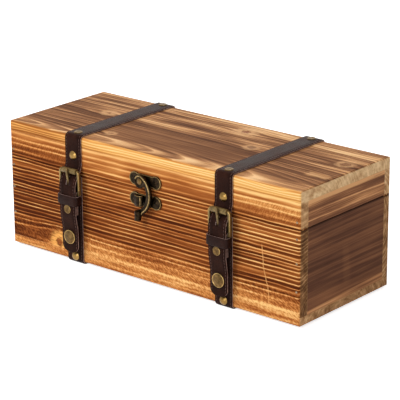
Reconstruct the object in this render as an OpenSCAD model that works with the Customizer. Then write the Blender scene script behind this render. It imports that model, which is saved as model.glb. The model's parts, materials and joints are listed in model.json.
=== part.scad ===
// Single-bottle wine box: a hinged pine box with two buckled leather straps and a swing-hook latch.
// +X runs along the box, the front faces -Y and +Z is up. The box stands on its straps at z = 0.

/* [Carcass] */
// Length of the box over its ends
box_l = 356; // [300:1:420]
// Depth of the box from front to back
box_w = 135; // [110:1:180]
// Height of the closed box without the straps under it
box_h = 126; // [115:1:170]
// Height of the lid above the seam
lid_h = 35.2; // [33:0.1:42]
// Thickness of the front, back and end boards
side_t = 10; // [8:0.5:12]
// Thickness of the top board
top_t = 10.4; // [8:0.1:13]
// Thickness of the bottom board
bottom_t = 9.2; // [8:0.1:13]
// Radius of the rounded outer edges
arris_r = 3; // [1.5:0.5:5]
// Radius of the eased edges along the seam
seam_r = 1.2; // [0.5:0.1:2]
// Gap between the closed lid and the base
seam_gap = 0.3; // [0.2:0.1:0.8]

/* [Straps] */
// Distance of each strap from the middle of the box
strap_x = 92; // [60:1:120]
// Width of the straps
strap_w = 20; // [16:1:24]
// Thickness of one layer of strap leather
strap_t = 1.8; // [1.4:0.1:2.2]
// Distance from the top of the lid down to the domed rivets, halfway between the two straps' own
dome_drop = 20.5; // [18:0.5:22]
// How far the left strap's domed rivet sits above that, and the right one's below it
dome_skew = 1.3; // [0:0.1:1.4]
// Distance from the top of the lid down to the line where the straps flex
flex_drop = 27.7; // [27:0.1:30]
// Distance of the flat rivets from the front and back edges of the top
top_rivet_in = 6.5; // [5.5:0.1:8]
// Height of the lower domed rivets above the underside of the box
low_rivet_up = 5.5; // [4.5:0.1:6]

/* [Rivets and brads] */
// Radius of the domed rivet heads
dome_r = 4.4; // [3.5:0.1:5]
// Height of the domed rivet heads
dome_h = 2.5; // [1.5:0.1:2.6]
// Radius of the flat rivet heads
flat_r = 4.2; // [3:0.1:5]
// Height of the flat rivet heads
flat_h = 0.8; // [0.5:0.1:1]
// Radius of the rivet and stud shanks
shank_r = 1.5; // [1:0.1:2]
// Length of the rivet shanks below their heads
shank_l = 8; // [5:0.5:9]
// Radius of the brads
brad_r = 0.8; // [0.5:0.1:1]
// Length of the brads
brad_l = 18; // [14:1:22]
// Distance of the brads from the ends of the box
brad_in = 4.5; // [4:0.1:5.5]

/* [Buckles] */
// Distance from the flex line down to the roller's axis
roller_drop = 5.4; // [5:0.1:6]
// Distance of the roller's axis from the front of the box
roller_out = 6.8; // [6.8:0.1:7.4]
// Outer radius of the roller
roller_r = 2.75; // [2.4:0.05:2.8]
// Half the length of the roller
roller_half = 9; // [8:0.1:9.2]
// Distance between the roller's axis and the heel bar's axis
buckle_reach = 21.5; // [21.5:0.5:24]
// Distance of the heel bar's axis from the front of the box
heel_out = 6.4; // [6.2:0.1:6.8]
// Radius of the heel bar and of the bar inside the roller
bar_r = 1.5; // [1.2:0.05:1.6]
// Width of the buckle's side bars
side_bar_w = 2.2; // [2:0.1:3]
// Thickness of the buckle's side bars
side_bar_t = 2.8; // [2:0.1:3]
// Radius of the frame's outer corners beside the roller
frame_corner = 3.6; // [2.6:0.1:3.8]
// Clearance between the strap and each side bar
side_gap = 0.4; // [0.4:0.1:1]
// Width of the prong
prong_w = 2.2; // [1.8:0.1:3]
// Thickness of the prong
prong_t = 1.8; // [1.2:0.1:2]
// Running clearance of what turns on the bars
run_gap = 0.08; // [0.05:0.01:0.1]

/* [Tongue, tab and snap] */
// Length of the tongue below the heel bar
tongue_l = 60; // [56:1:62]
// Distance of the tongue's middle layer from the front of the box at the snap
snap_out = 7.7; // [7.4:0.1:8.2]
// Distance from the tip of the tongue up to the snap
snap_up = 15.6; // [13:0.1:18]
// Thickness of one layer of the tab, which is folded round the heel bar
layer_t = 1.4; // [1.2:0.1:1.5]
// Distance from the heel bar's axis down to the rivet through the tongue and the tab
fold_rivet_drop = 15.8; // [15.8:0.1:18]
// Radius of the snap cap
cap_r = 7; // [5.5:0.5:8]
// Radius of the snap socket
socket_r = 5.2; // [4:0.1:6]
// Radius of the stud's nub
nub_r = 2; // [1.5:0.1:2.4]
// Height of the keeper loop
keeper_h = 9.3; // [6:0.1:9.3]
// Thickness of the keeper's leather
keeper_t = 1.3; // [1:0.1:1.6]

/* [Latch] */
// Distance of the latch plate's middle from the middle of the box, negative to the left
latch_x = -1.3; // [-10:0.1:10]
// Height of the latch plate's middle above the seam
latch_up = 9.4; // [8.5:0.1:12]
// Distance from the seam down to the catch plate's middle
catch_down = 10.2; // [9:0.1:12]
// Distance between the two screws of a plate
plate_screw_gap = 25.4; // [22:0.2:30]
// Radius of the plates' round ends
plate_end_r = 6.5; // [5:0.1:7]
// Height of the plates between their round ends
plate_waist = 11; // [7:0.5:12]
// Thickness of the plates
plate_t = 1.4; // [1:0.1:1.8]
// Thickness of the hook
hook_t = 2.4; // [1.8:0.1:3]
// Distance of the hook's back from the front of the box
hook_out = 3.3; // [3.2:0.1:4]
// Inner radius of the hook's curved arm
arm_r = 16.6; // [15.5:0.1:17.5]
// Width of the hook's arm
arm_w = 5.4; // [4:0.1:6]
// Radius of the pivot rivet's shank
pivot_r = 1.9; // [1.5:0.1:2.2]

/* [Hinges] */
// Distance of each hinge's middle from the end of the box
hinge_in = 44; // [34:1:56]
// Width of a hinge
leaf_w = 26; // [22:1:34]
// Height of each leaf, from the seam
leaf_h = 15; // [13:0.5:18]
// Thickness of the leaves and of the stop lips
leaf_t = 1.2; // [0.8:0.1:1.4]
// Outer radius of the hinge barrel
barrel_r = 2.2; // [2:0.1:2.6]
// Radius of the hinge pin
pin_r = 1.1; // [0.8:0.05:1.3]
// Outer radius of the stop lips
lip_r = 5.2; // [4.5:0.1:6]

/* [Hidden] */
$fn = 48;
fit_gap = 0.05;
pan_r = 2.1;
pan_h = 0.9;
screw_r = 1.1;
screw_l = 8;

// Heights of the wood: its underside, the seam and the top of the lid
wood_z = strap_t;
top_z = wood_z + box_h;
seam_z = top_z - lid_h;

// Buckle and strap heights, from the top down
dome_z = top_z - dome_drop;
flex_z = top_z - flex_drop;
flex_out = strap_t / 2 + 0.2;
roller_z = flex_z - roller_drop;
heel_z = roller_z - buckle_reach;
keeper_top = heel_z - 2;
tip_z = heel_z - tongue_l;
snap_z = tip_z + snap_up;
fold_rivet_z = heel_z - fold_rivet_drop;

// Where the straps end and their back rivets sit
base_strap_front_z = seam_z - 4;
base_strap_back_z = seam_z - 6;
lid_strap_front_z = flex_z + strap_t / 2 + 0.4;
lid_strap_back_z = seam_z + 5;
base_back_rivet_z = seam_z - 15;
lid_back_rivet_z = seam_z + 14;

// Out distances of the tongue's middle layer and of the tab behind it
bore_r = bar_r + run_gap;
loop_r = bore_r + layer_t;
tongue_out = heel_out + loop_r + 0.2 + strap_t / 2;
tongue_rivet_out = tongue_out - 0.3;
tab_front = tongue_rivet_out - strap_t / 2 - 0.03;
tab_out = tab_front - layer_t;
tab_back = tab_out - layer_t;
snap_front = snap_out + strap_t / 2;
snap_back = snap_out - strap_t / 2;

// Insides of the keeper, seen from the end of the strap
keeper_half = strap_w / 2 + 1.3;
keeper_back = heel_out - loop_r + 0.6;
keeper_front = tongue_out + strap_t / 2 + 0.25;
keeper_corner = 2.2;

// Buckle frame
frame_half = strap_w / 2 + side_gap + side_bar_w;
frame_lean = atan((roller_out - heel_out) / buckle_reach);
prong_over = roller_out + roller_r + prong_t / 2 + 0.35;
prong_slot_w = prong_w + 0.8;

// Latch
latch_z = seam_z + latch_up;
catch_z = seam_z - catch_down;
pivot_x = latch_x - 3.4;
pivot_z = latch_z - 0.5;
arm_x = -8.3;
arm_z = -12.7;
arm_low = -58;
arm_high = 60;
scroll_r = 3.2;
scroll_x = -1.6;
scroll_top = -28.8;
scroll_h = 8.8;
claw_h = 9.5;

// Hinges: the barrel stands clear of the back, and the lips meet just past the lid's limit
hinge_x = box_l / 2 - hinge_in;
barrel_out = barrel_r + 0.1;
knuckle_half = leaf_w / 6;
lip_a = 67;
lip_in = barrel_r + 0.4;

// The box's middle moves back or forward so that the whole object is centred on y = 0
front_proud = keeper_front + keeper_t;
back_proud = barrel_out + lip_r * cos(lip_a) + leaf_t / 2 * sin(lip_a);
middle_y = (front_proud - back_proud) / 2;
front_y = middle_y - box_w / 2;
back_y = middle_y + box_w / 2;

// Smooth curve through the points of a path, with n steps between two points
function curve_at(a, b, c, d, t) =
    0.5 * (2 * b + (c - a) * t + (2 * a - 5 * b + 4 * c - d) * t * t + (3 * b - a - 3 * c + d) * t * t * t);
function smooth(path, n = 5) = [
    for (i = [0:len(path) - 2], k = [0:n - 1])
        curve_at(path[max(i - 1, 0)], path[i], path[i + 1], path[min(i + 2, len(path) - 1)], k / n),
    path[len(path) - 1]
];

// Outline of a band of thickness t that follows a path
function unit(v) = v / norm(v);
function normal_at(path, i) =
    let (d = unit(path[min(i + 1, len(path) - 1)] - path[max(i - 1, 0)])) [-d[1], d[0]];
function band(path, t) = concat(
    [for (i = [0:len(path) - 1]) path[i] - normal_at(path, i) * t / 2],
    [for (i = [len(path) - 1:-1:0]) path[i] + normal_at(path, i) * t / 2]
);

// Placing: local z points out of the face
module on_front(x, z) { translate([x, front_y, z]) rotate([90, 0, 0]) children(); }
module on_back(x, z) { translate([x, back_y, z]) rotate([90, 0, 180]) children(); }
module on_top(x, y) { translate([x, y, top_z]) children(); }

// A side view in [distance in front of the box, height] pushed out along X, centred on x
module side_view(x, w) {
    translate([x, front_y, 0]) mirror([0, 1, 0]) rotate([90, 0, 90])
        linear_extrude(w, center = true) children();
}

// Rectangle from [x0, z0] to [x1, z1] with one radius for the lower and one for the upper corners
module soft_rect(x0, x1, z0, z1, low_r, high_r) {
    translate([x0, z0 + low_r]) square([x1 - x0, z1 - z0 - low_r - high_r]);
    translate([x0 + low_r, z0]) square([x1 - x0 - 2 * low_r, low_r + 0.01]);
    translate([x0 + high_r, z1 - high_r - 0.01]) square([x1 - x0 - 2 * high_r, high_r + 0.01]);
    for (x = [x0 + low_r, x1 - low_r]) translate([x, z0 + low_r]) circle(low_r);
    for (x = [x0 + high_r, x1 - high_r]) translate([x, z1 - high_r]) circle(high_r);
}

// The rounded block that the base or the lid is cut from
module envelope(z0, z1, low_r, high_r) {
    intersection() {
        translate([0, back_y + 1, 0]) rotate([90, 0, 0]) linear_extrude(box_w + 2)
            soft_rect(-box_l / 2, box_l / 2, z0, z1, low_r, high_r);
        rotate([90, 0, 90]) linear_extrude(box_l + 2, center = true)
            soft_rect(front_y, back_y, z0, z1, low_r, high_r);
        translate([0, 0, z0 - 1]) linear_extrude(z1 - z0 + 2)
            soft_rect(-box_l / 2, box_l / 2, front_y, back_y, arris_r, arris_r);
    }
}
module base_block() { envelope(wood_z, seam_z - seam_gap / 2, arris_r, seam_r); }
module lid_block() { envelope(seam_z + seam_gap / 2, top_z, seam_r, arris_r); }

// Slabs that cut the boards out of a block
module across(z0, z1) { translate([-box_l, -box_w, z0]) cube([2 * box_l, 2 * box_w, z1 - z0]); }
module front_slab(z0, z1) { translate([-box_l, front_y - 1, z0]) cube([2 * box_l, side_t + 1, z1 - z0]); }
module back_slab(z0, z1) { translate([-box_l, back_y - side_t, z0]) cube([2 * box_l, side_t + 1, z1 - z0]); }
module end_slab(side, z0, z1) {
    translate([side > 0 ? box_l / 2 - side_t : -box_l / 2 - 1, front_y + side_t, z0])
        cube([side_t + 1, box_w - 2 * side_t, z1 - z0]);
}
base_low = wood_z + bottom_t;
lid_high = top_z - top_t;

// Rivets, screws and brads, all with their heads at local z = 0 and up
module dome(r, h) {
    ball_r = (r * r + h * h) / (2 * h);
    rotate_extrude() intersection() {
        translate([0, h - ball_r]) circle(ball_r, $fn = 240);
        square([r, h]);
    }
}
module shank(r, l) { translate([0, 0, -l]) cylinder(r = r, h = l); }
module hole(r, l) { translate([0, 0, -l]) cylinder(r = r + fit_gap, h = l + 1); }
module domed_rivet() {
    translate([0, 0, strap_t]) dome(dome_r, dome_h);
    translate([0, 0, strap_t + 0.01]) shank(shank_r, shank_l + 0.01);
}
module flat_head(r, h) {
    rim = [[0, 0], [r, 0], [r, h * 0.4], [r - h * 0.6, h]];
    dimple = [[r * 0.45, h], [r * 0.38, h * 0.7], [0, h * 0.7]];
    rotate_extrude() polygon(concat(rim, dimple));
}
module flat_rivet() {
    translate([0, 0, strap_t]) flat_head(flat_r, flat_h);
    translate([0, 0, strap_t + 0.01]) shank(shank_r, shank_l + 0.01);
}
module rivet_hole() { hole(shank_r, shank_l); }
module strap_hole() { translate([0, 0, -1]) cylinder(r = shank_r + fit_gap, h = strap_t + 2); }
module pan_screw(seat) {
    translate([0, 0, seat]) difference() {
        dome(pan_r, pan_h);
        for (a = [0, 90]) rotate(a) translate([-1.3, -0.25, pan_h - 0.5]) cube([2.6, 0.5, 1]);
    }
    translate([0, 0, seat + 0.01]) shank(screw_r, screw_l + 0.01);
}
module screw_hole() { hole(screw_r, screw_l); }
module brad() {
    translate([0, 0, 0.15]) shank(brad_r, brad_l);
    cylinder(r = brad_r + 0.25, h = 0.2);
}

// Where the fasteners are
module both_straps() { for (s = [-1, 1]) translate([s * strap_x, 0, 0]) children(); }
module lid_dome_places() {
    for (s = [-1, 1]) on_front(s * strap_x, dome_z - s * dome_skew) children();
}
module low_dome_places() {
    both_straps() on_front(0, wood_z + low_rivet_up) children();
    both_straps() on_back(0, wood_z + low_rivet_up) children();
}
module base_back_places() { both_straps() on_back(0, base_back_rivet_z) children(); }
module lid_back_places() { both_straps() on_back(0, lid_back_rivet_z) children(); }
module top_places() {
    both_straps() on_top(0, front_y + top_rivet_in) children();
    both_straps() on_top(0, back_y - top_rivet_in) children();
}
module stud_places() { both_straps() on_front(0, snap_z) children(); }
module plate_screw_places(z) {
    for (s = [-1, 1]) on_front(latch_x + s * plate_screw_gap / 2, z) children();
}
module leaf_screw_places(dz) {
    for (s = [-1, 1], k = [-1, 1]) on_back(s * hinge_x + k * leaf_w * 0.3, seam_z + dz) children();
}
module brad_places(heights) {
    for (s = [-1, 1], z = heights) {
        on_front(s * (box_l / 2 - brad_in), z) children();
        on_back(s * (box_l / 2 - brad_in), z) children();
    }
}
base_brad_z = [for (share = [0.36, 0.65, 0.9]) wood_z + (seam_z - wood_z) * share];
lid_brad_z = [seam_z + 6.5];
leaf_screw_dz = (leaf_h + barrel_r) / 2 + 0.6;

// Boards of the base
module base_bottom() {
    color("sandybrown") difference() {
        intersection() {
            base_block();
            across(wood_z - 1, base_low);
        }
        low_dome_places() rivet_hole();
    }
}
module base_front() {
    color("peru") difference() {
        intersection() {
            base_block();
            front_slab(base_low, seam_z);
        }
        stud_places() rivet_hole();
        plate_screw_places(catch_z) screw_hole();
        brad_places(base_brad_z) hole(brad_r, brad_l);
    }
}
module base_back() {
    color("peru") difference() {
        intersection() {
            base_block();
            back_slab(base_low, seam_z);
        }
        base_back_places() rivet_hole();
        leaf_screw_places(-leaf_screw_dz) screw_hole();
        brad_places(base_brad_z) hole(brad_r, brad_l);
    }
}
module base_end(side) {
    color("saddlebrown") difference() {
        intersection() {
            base_block();
            end_slab(side, base_low, seam_z);
        }
        brad_places(base_brad_z) hole(brad_r, brad_l);
    }
}
module base_left_end() { base_end(-1); }
module base_right_end() { base_end(1); }
module base_brads() { color("gold") brad_places(base_brad_z) brad(); }

// Boards of the lid
module lid_top() {
    color("burlywood") difference() {
        intersection() {
            lid_block();
            across(lid_high, top_z + 1);
        }
        top_places() rivet_hole();
    }
}
module lid_front() {
    color("peru") difference() {
        intersection() {
            lid_block();
            front_slab(seam_z, lid_high);
        }
        lid_dome_places() rivet_hole();
        plate_screw_places(latch_z) screw_hole();
        brad_places(lid_brad_z) hole(brad_r, brad_l);
    }
}
module lid_back() {
    color("peru") difference() {
        intersection() {
            lid_block();
            back_slab(seam_z, lid_high);
        }
        lid_back_places() rivet_hole();
        leaf_screw_places(leaf_screw_dz) screw_hole();
        brad_places(lid_brad_z) hole(brad_r, brad_l);
    }
}
module lid_end(side) {
    color("saddlebrown") difference() {
        intersection() {
            lid_block();
            end_slab(side, seam_z, lid_high);
        }
        brad_places(lid_brad_z) hole(brad_r, brad_l);
    }
}
module lid_left_end() { lid_end(-1); }
module lid_right_end() { lid_end(1); }
module lid_brads() { color("gold") brad_places(lid_brad_z) brad(); }

// A strap that lies on the outside of the whole box, cut to the part between z0 and z1
module wrapped_strap(side) {
    outer_r = arris_r + strap_t;
    translate([side * strap_x, 0, 0]) rotate([90, 0, 90]) linear_extrude(strap_w, center = true)
        difference() {
            soft_rect(front_y - strap_t, back_y + strap_t, 0, top_z + strap_t, outer_r, outer_r);
            soft_rect(front_y, back_y, wood_z, top_z, arris_r, arris_r);
        }
}
// Everything at or above the given heights in front of and behind the middle of the box
module above(front_z, back_z) {
    translate([-box_l, middle_y - box_w, front_z]) cube([2 * box_l, box_w, box_h * 2]);
    translate([-box_l, middle_y, back_z]) cube([2 * box_l, box_w, box_h * 2]);
}
module base_strap(side) {
    color("saddlebrown") difference() {
        wrapped_strap(side);
        above(base_strap_front_z, base_strap_back_z);
        stud_places() strap_hole();
        low_dome_places() strap_hole();
        base_back_places() strap_hole();
    }
}
module lid_strap(side) {
    color("saddlebrown") difference() {
        intersection() {
            wrapped_strap(side);
            above(lid_strap_front_z, lid_strap_back_z);
        }
        lid_dome_places() strap_hole();
        top_places() strap_hole();
        lid_back_places() strap_hole();
    }
}
module base_strap_left() { base_strap(-1); }
module base_strap_right() { base_strap(1); }
module lid_strap_left() { lid_strap(-1); }
module lid_strap_right() { lid_strap(1); }

// Rivets and studs in the straps
module base_domed_rivets() { color("goldenrod") low_dome_places() domed_rivet(); }
module base_flat_rivets() { color("goldenrod") base_back_places() flat_rivet(); }
module lid_domed_rivets() { color("goldenrod") lid_dome_places() domed_rivet(); }
module lid_flat_rivets() {
    color("goldenrod") {
        top_places() flat_rivet();
        lid_back_places() flat_rivet();
    }
}
flange_h = 0.6;
socket_out = strap_t + flange_h + 0.5;
nub_end = socket_out + 1.8;
module stud() {
    translate([0, 0, strap_t]) cylinder(r = socket_r - 0.8, h = flange_h);
    translate([0, 0, strap_t]) cylinder(r = nub_r - 0.3, h = nub_end - strap_t - 1);
    translate([0, 0, nub_end - 1.4]) cylinder(r = nub_r, h = 0.8);
    translate([0, 0, nub_end - 0.6]) dome(nub_r, 0.6);
    translate([0, 0, strap_t]) shank(shank_r, shank_l);
}
module snap_studs() { color("goldenrod") stud_places() stud(); }

// The tongue runs behind the roller, over the heel bar's loop and through the keeper to the snap
tongue_curve = [
    [flex_out, flex_z],
    [flex_out + 0.9, flex_z - 2.5],
    [roller_out - roller_r - 0.4 - strap_t / 2, roller_z + 0.3],
    [roller_out - 3.6, roller_z - 1.6],
    [roller_out - 1.6, roller_z - 4.4],
    [tongue_out - 2.5, heel_z + 14],
    [tongue_out - 0.9, heel_z + 10.6],
    [tongue_out - 0.1, heel_z + 6.3],
    [tongue_out, heel_z],
    [tongue_rivet_out, fold_rivet_z + flat_r + 1.5]
];
tongue_tail = [
    [tongue_rivet_out, fold_rivet_z - flat_r - 1.6],
    [snap_out, snap_z + cap_r + 1.2],
    [snap_out, tip_z]
];
// The prong comes through a slanted slot, cut low enough for its play
prong_slot = [
    [tongue_out + 2, heel_z + 9.6],
    [tongue_out - 2.5, heel_z + 2.8],
    [tongue_out - 4.8, heel_z + 2.8],
    [tongue_out - 4.8, heel_z + 13.7],
    [tongue_out - 1.4, heel_z + 16.6],
    [tongue_out + 2, heel_z + 16.6]
];
// What is cut from each corner of the tongue's tip, measured from that corner inwards and up
tip_cut = [[-1, -1], [7.4, -1], [6.4, 0], [2.9, 1.6], [0.9, 3.9], [0, 6.6], [-1, 8.6]];
module tongue(side) {
    color("sienna") difference() {
        union() {
            side_view(side * strap_x, strap_w)
                polygon(band(concat(smooth(tongue_curve), tongue_tail), strap_t));
            side_view(side * strap_x, strap_w) translate([flex_out, flex_z]) circle(strap_t / 2);
        }
        side_view(side * strap_x, prong_slot_w) polygon(prong_slot);
        for (s = [-1, 1]) on_front(side * strap_x, tip_z)
            linear_extrude(tongue_out) polygon([for (cut = tip_cut) [s * (strap_w / 2 - cut[0]), cut[1]]]);
        for (z = [fold_rivet_z, snap_z]) on_front(side * strap_x, z)
            cylinder(r = shank_r + fit_gap, h = 2 * tongue_out);
    }
}
module tongue_left() { tongue(-1); }
module tongue_right() { tongue(1); }

// The tab is folded round the heel bar behind the tongue, with the prong's slot through its loop
tab_top = heel_z - 9;
tab_end = fold_rivet_z - flat_r - 1;
tab_outline = [
    [tab_front, tab_end],
    [tab_front, tab_top],
    [heel_out + loop_r - 0.2, heel_z],
    [heel_out - loop_r + 0.2, heel_z],
    [tab_back, tab_top],
    [tab_back, tab_end]
];
module tab_side() {
    difference() {
        union() {
            polygon(tab_outline);
            translate([heel_out, heel_z]) circle(loop_r);
        }
        translate([heel_out, heel_z]) circle(bore_r);
        polygon([
            [heel_out - bore_r + 0.2, heel_z - 0.4],
            [heel_out + bore_r - 0.2, heel_z - 0.4],
            [tab_out, tab_top + 1]
        ]);
    }
}
module tab(side) {
    color("sienna") difference() {
        side_view(side * strap_x, strap_w) tab_side();
        side_view(side * strap_x, prong_slot_w)
            translate([heel_out - 5, heel_z - loop_r]) square([10, 3 * loop_r]);
        on_front(side * strap_x, fold_rivet_z) cylinder(r = shank_r + fit_gap, h = 2 * tongue_out);
    }
}
module tab_left() { tab(-1); }
module tab_right() { tab(1); }

module keeper(side) {
    color("sienna") translate([side * strap_x, front_y, keeper_top - keeper_h]) mirror([0, 1, 0])
        linear_extrude(keeper_h) difference() {
            soft_rect(
                -keeper_half - keeper_t, keeper_half + keeper_t,
                keeper_back - keeper_t, keeper_front + keeper_t,
                keeper_corner + keeper_t, keeper_corner + keeper_t
            );
            soft_rect(-keeper_half, keeper_half, keeper_back, keeper_front, keeper_corner, keeper_corner);
        }
}
module keeper_left() { keeper(-1); }
module keeper_right() { keeper(1); }

washer_t = 0.7;
module fold_rivet(side) {
    front = tongue_rivet_out + strap_t / 2;
    color("goldenrod") on_front(side * strap_x, fold_rivet_z) {
        translate([0, 0, front]) flat_head(flat_r, flat_h);
        translate([0, 0, tab_back - 0.1]) cylinder(r = shank_r, h = front - tab_back + 0.2);
        translate([0, 0, tab_back - washer_t]) cylinder(r = flat_r - 0.8, h = washer_t);
    }
}
module fold_rivet_left() { fold_rivet(-1); }
module fold_rivet_right() { fold_rivet(1); }

module snap_cap(side) {
    color("darkgoldenrod") on_front(side * strap_x, snap_z) {
        translate([0, 0, snap_front]) cylinder(r = cap_r, h = 0.6);
        translate([0, 0, snap_front + 0.6]) dome(cap_r, 1.1);
        translate([0, 0, snap_back - 0.5]) cylinder(r = shank_r, h = strap_t + 0.6);
    }
}
module snap_socket(side) {
    color("goldenrod") on_front(side * strap_x, snap_z) difference() {
        translate([0, 0, socket_out]) cylinder(r = socket_r, h = snap_back - socket_out);
        translate([0, 0, socket_out - 1]) cylinder(r = nub_r + 0.3, h = nub_end - socket_out + 1.25);
        translate([0, 0, socket_out]) cylinder(r = shank_r + fit_gap, h = 10);
    }
}
module snap_cap_left() { snap_cap(-1); }
module snap_cap_right() { snap_cap(1); }
module snap_socket_left() { snap_socket(-1); }
module snap_socket_right() { snap_socket(1); }

// Buckle pieces are drawn from the heel bar's axis: x along the bar, y up the frame, z outwards
module at_heel(side) { on_front(side * strap_x, heel_z) translate([0, 0, heel_out]) children(); }
module cross_bar(y, r, half) { translate([-half, y, 0]) rotate([0, 90, 0]) cylinder(r = r, h = 2 * half); }
// The side bars with their round upper corners; between them are only the two round bars
module side_bars_outline() {
    inner_half = frame_half - side_bar_w;
    roller_room = roller_half + 0.3;
    difference() {
        soft_rect(-frame_half, frame_half, 0.2 - bar_r, buckle_reach + bar_r - 0.2, 0.9, frame_corner);
        soft_rect(
            -inner_half, inner_half, -roller_r, buckle_reach - bar_r + 0.3, 0.5, frame_corner - side_bar_w
        );
        translate([-roller_room, buckle_reach - roller_r]) square(2 * [roller_room, roller_r]);
    }
}
module buckle_frame(side) {
    bar_end = frame_half - side_bar_w / 2;
    color("darkgoldenrod") at_heel(side) rotate([frame_lean, 0, 0]) {
        translate([0, 0, -side_bar_t / 2]) linear_extrude(side_bar_t) side_bars_outline();
        cross_bar(0, bar_r, bar_end);
        cross_bar(buckle_reach, bar_r, bar_end);
    }
}
module buckle_roller(side) {
    color("goldenrod") at_heel(side) rotate([frame_lean, 0, 0]) difference() {
        cross_bar(buckle_reach, roller_r, roller_half);
        cross_bar(buckle_reach, bar_r + run_gap, roller_half + 1);
    }
}
prong_path = [
    [heel_out + 0.7, heel_z + 1.9],
    [heel_out + 1.5, heel_z + 6.3],
    [prong_over, roller_z],
    [prong_over - 0.2, roller_z + roller_r + 0.6]
];
module buckle_prong(side) {
    ring_r = bore_r + 0.9;
    color("goldenrod") difference() {
        union() {
            side_view(side * strap_x, prong_w) polygon(band(prong_path, prong_t));
            at_heel(side) cross_bar(0, ring_r, prong_w / 2);
        }
        at_heel(side) cross_bar(0, bore_r, strap_w);
    }
}
module buckle_frame_left() { buckle_frame(-1); }
module buckle_frame_right() { buckle_frame(1); }
module buckle_roller_left() { buckle_roller(-1); }
module buckle_roller_right() { buckle_roller(1); }
module buckle_prong_left() { buckle_prong(-1); }
module buckle_prong_right() { buckle_prong(1); }

// Latch and catch: plates with round ends, a hook on a pivot and a claw that it reaches under
module latch_outline() {
    for (s = [-1, 1]) translate([s * plate_screw_gap / 2, 0]) circle(plate_end_r);
    square([plate_screw_gap, plate_waist], center = true);
}
module screwed_plate(z) {
    difference() {
        on_front(latch_x, z) linear_extrude(plate_t) latch_outline();
        plate_screw_places(z) translate([0, 0, -1]) cylinder(r = screw_r + fit_gap, h = plate_t + 2);
    }
}
module latch_plate() {
    color("darkolivegreen") difference() {
        union() {
            screwed_plate(latch_z);
            on_front(pivot_x, pivot_z) cylinder(r = 3.8, h = hook_out - 0.15);
        }
        on_front(pivot_x, pivot_z) translate([0, 0, -1]) cylinder(r = pivot_r + fit_gap, h = 20);
    }
}
module latch_screws() { color("darkolivegreen") plate_screw_places(latch_z) pan_screw(plate_t); }
module catch_screws() { color("darkolivegreen") plate_screw_places(catch_z) pan_screw(plate_t); }
module latch_pivot() {
    color("olive") on_front(pivot_x, pivot_z) {
        translate([0, 0, 0.1]) cylinder(r = pivot_r, h = hook_out + hook_t);
        translate([0, 0, hook_out + hook_t + 0.1]) dome(pivot_r + 1.1, 1.1);
    }
}
// The claw's top view in [x from the plate's middle, distance in front of the box]
claw_path = [
    [-9, plate_t - 0.4], [-9.9, plate_t + 2], [-8.8, plate_t + 4.4], [-5.7, plate_t + 5.4],
    [-2.8, plate_t + 4.9], [-1.3, plate_t + 3.2], [-2.1, plate_t + 1.9]
];
module catch_plate() {
    color("darkolivegreen") {
        screwed_plate(catch_z);
        translate([latch_x, front_y, catch_z - claw_h / 2]) mirror([0, 1, 0])
            linear_extrude(claw_h) polygon(band(smooth(claw_path, 3), 1.2));
    }
}
function on_arm(r, a) = [arm_x + r * cos(a), arm_z + r * sin(a)];
module hook_tail() {
    low = scroll_top - scroll_h;
    in_end = on_arm(arm_r + 0.1, arm_low + 2);
    out_end = on_arm(arm_r + arm_w - 0.1, arm_low + 2);
    polygon([
        in_end, out_end, [scroll_x + 1.6, low + 2], [scroll_x + 1.6, low], [scroll_x - 1.6, low],
        [scroll_x - scroll_r * 0.6, scroll_top]
    ]);
}
module latch_hook() {
    color("olive") on_front(pivot_x, pivot_z) translate([0, 0, hook_out]) difference() {
        union() {
            cylinder(r = plate_end_r, h = hook_t);
            translate([arm_x, arm_z, 0]) rotate(arm_low) rotate_extrude(angle = arm_high - arm_low)
                translate([arm_r, 0]) square([arm_w, hook_t]);
            linear_extrude(hook_t) hook_tail();
            translate([scroll_x, scroll_top, scroll_r - 0.2]) rotate([90, 0, 0])
                cylinder(r = scroll_r, h = scroll_h);
        }
        translate([scroll_x, scroll_top + 1, scroll_r - 0.2]) rotate([90, 0, 0])
            cylinder(r = scroll_r - 1.4, h = scroll_h + 2);
        translate([0, 0, -1]) cylinder(r = pivot_r + fit_gap, h = 10);
        translate([0, 0, hook_t - 0.5]) cylinder(r = plate_end_r - 1.6, h = 2);
    }
}

// Hinges are drawn from the barrel's axis: x along the barrel, y outwards, z up
module at_hinge(side) { translate([side * hinge_x, back_y + barrel_out, seam_z]) children(); }
module barrel(from, to, r) { translate([from, 0, 0]) rotate([0, 90, 0]) cylinder(r = r, h = to - from); }
// A stop lip at an angle from straight out, and the webs that join it to its knuckles
module stop_lip(a, spans) {
    rotate([a, 0, 0]) {
        translate([-leaf_w / 2 + 0.5, lip_in, -leaf_t / 2]) cube([leaf_w - 1, lip_r - lip_in, leaf_t]);
        for (s = spans) translate([s[0] + 0.5, pin_r + 0.5, -leaf_t / 2])
            cube([s[1] - s[0] - 1, lip_in - pin_r, leaf_t]);
    }
}
base_knuckles = [[-leaf_w / 2, -knuckle_half - 0.15], [knuckle_half + 0.15, leaf_w / 2]];
lid_knuckles = [[-knuckle_half + 0.15, knuckle_half - 0.15]];
module hinge_leaf(side, up, knuckles, pin_gap) {
    plate_low = barrel_r + 0.5;
    color("darkgoldenrod") difference() {
        at_hinge(side) {
            mirror([0, 0, up > 0 ? 0 : 1]) {
                translate([-leaf_w / 2, -barrel_out, plate_low]) cube([leaf_w, leaf_t, leaf_h - plate_low]);
                for (k = knuckles) translate([k[0], -barrel_out, 0])
                    cube([k[1] - k[0], leaf_t, plate_low + 1]);
            }
            for (k = knuckles) barrel(k[0], k[1], barrel_r);
            stop_lip(up * lip_a, knuckles);
        }
        at_hinge(side) barrel(-leaf_w, leaf_w, pin_r + pin_gap);
        leaf_screw_places(up * leaf_screw_dz) translate([0, 0, -1])
            cylinder(r = screw_r + fit_gap, h = leaf_t + 2);
    }
}
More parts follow.
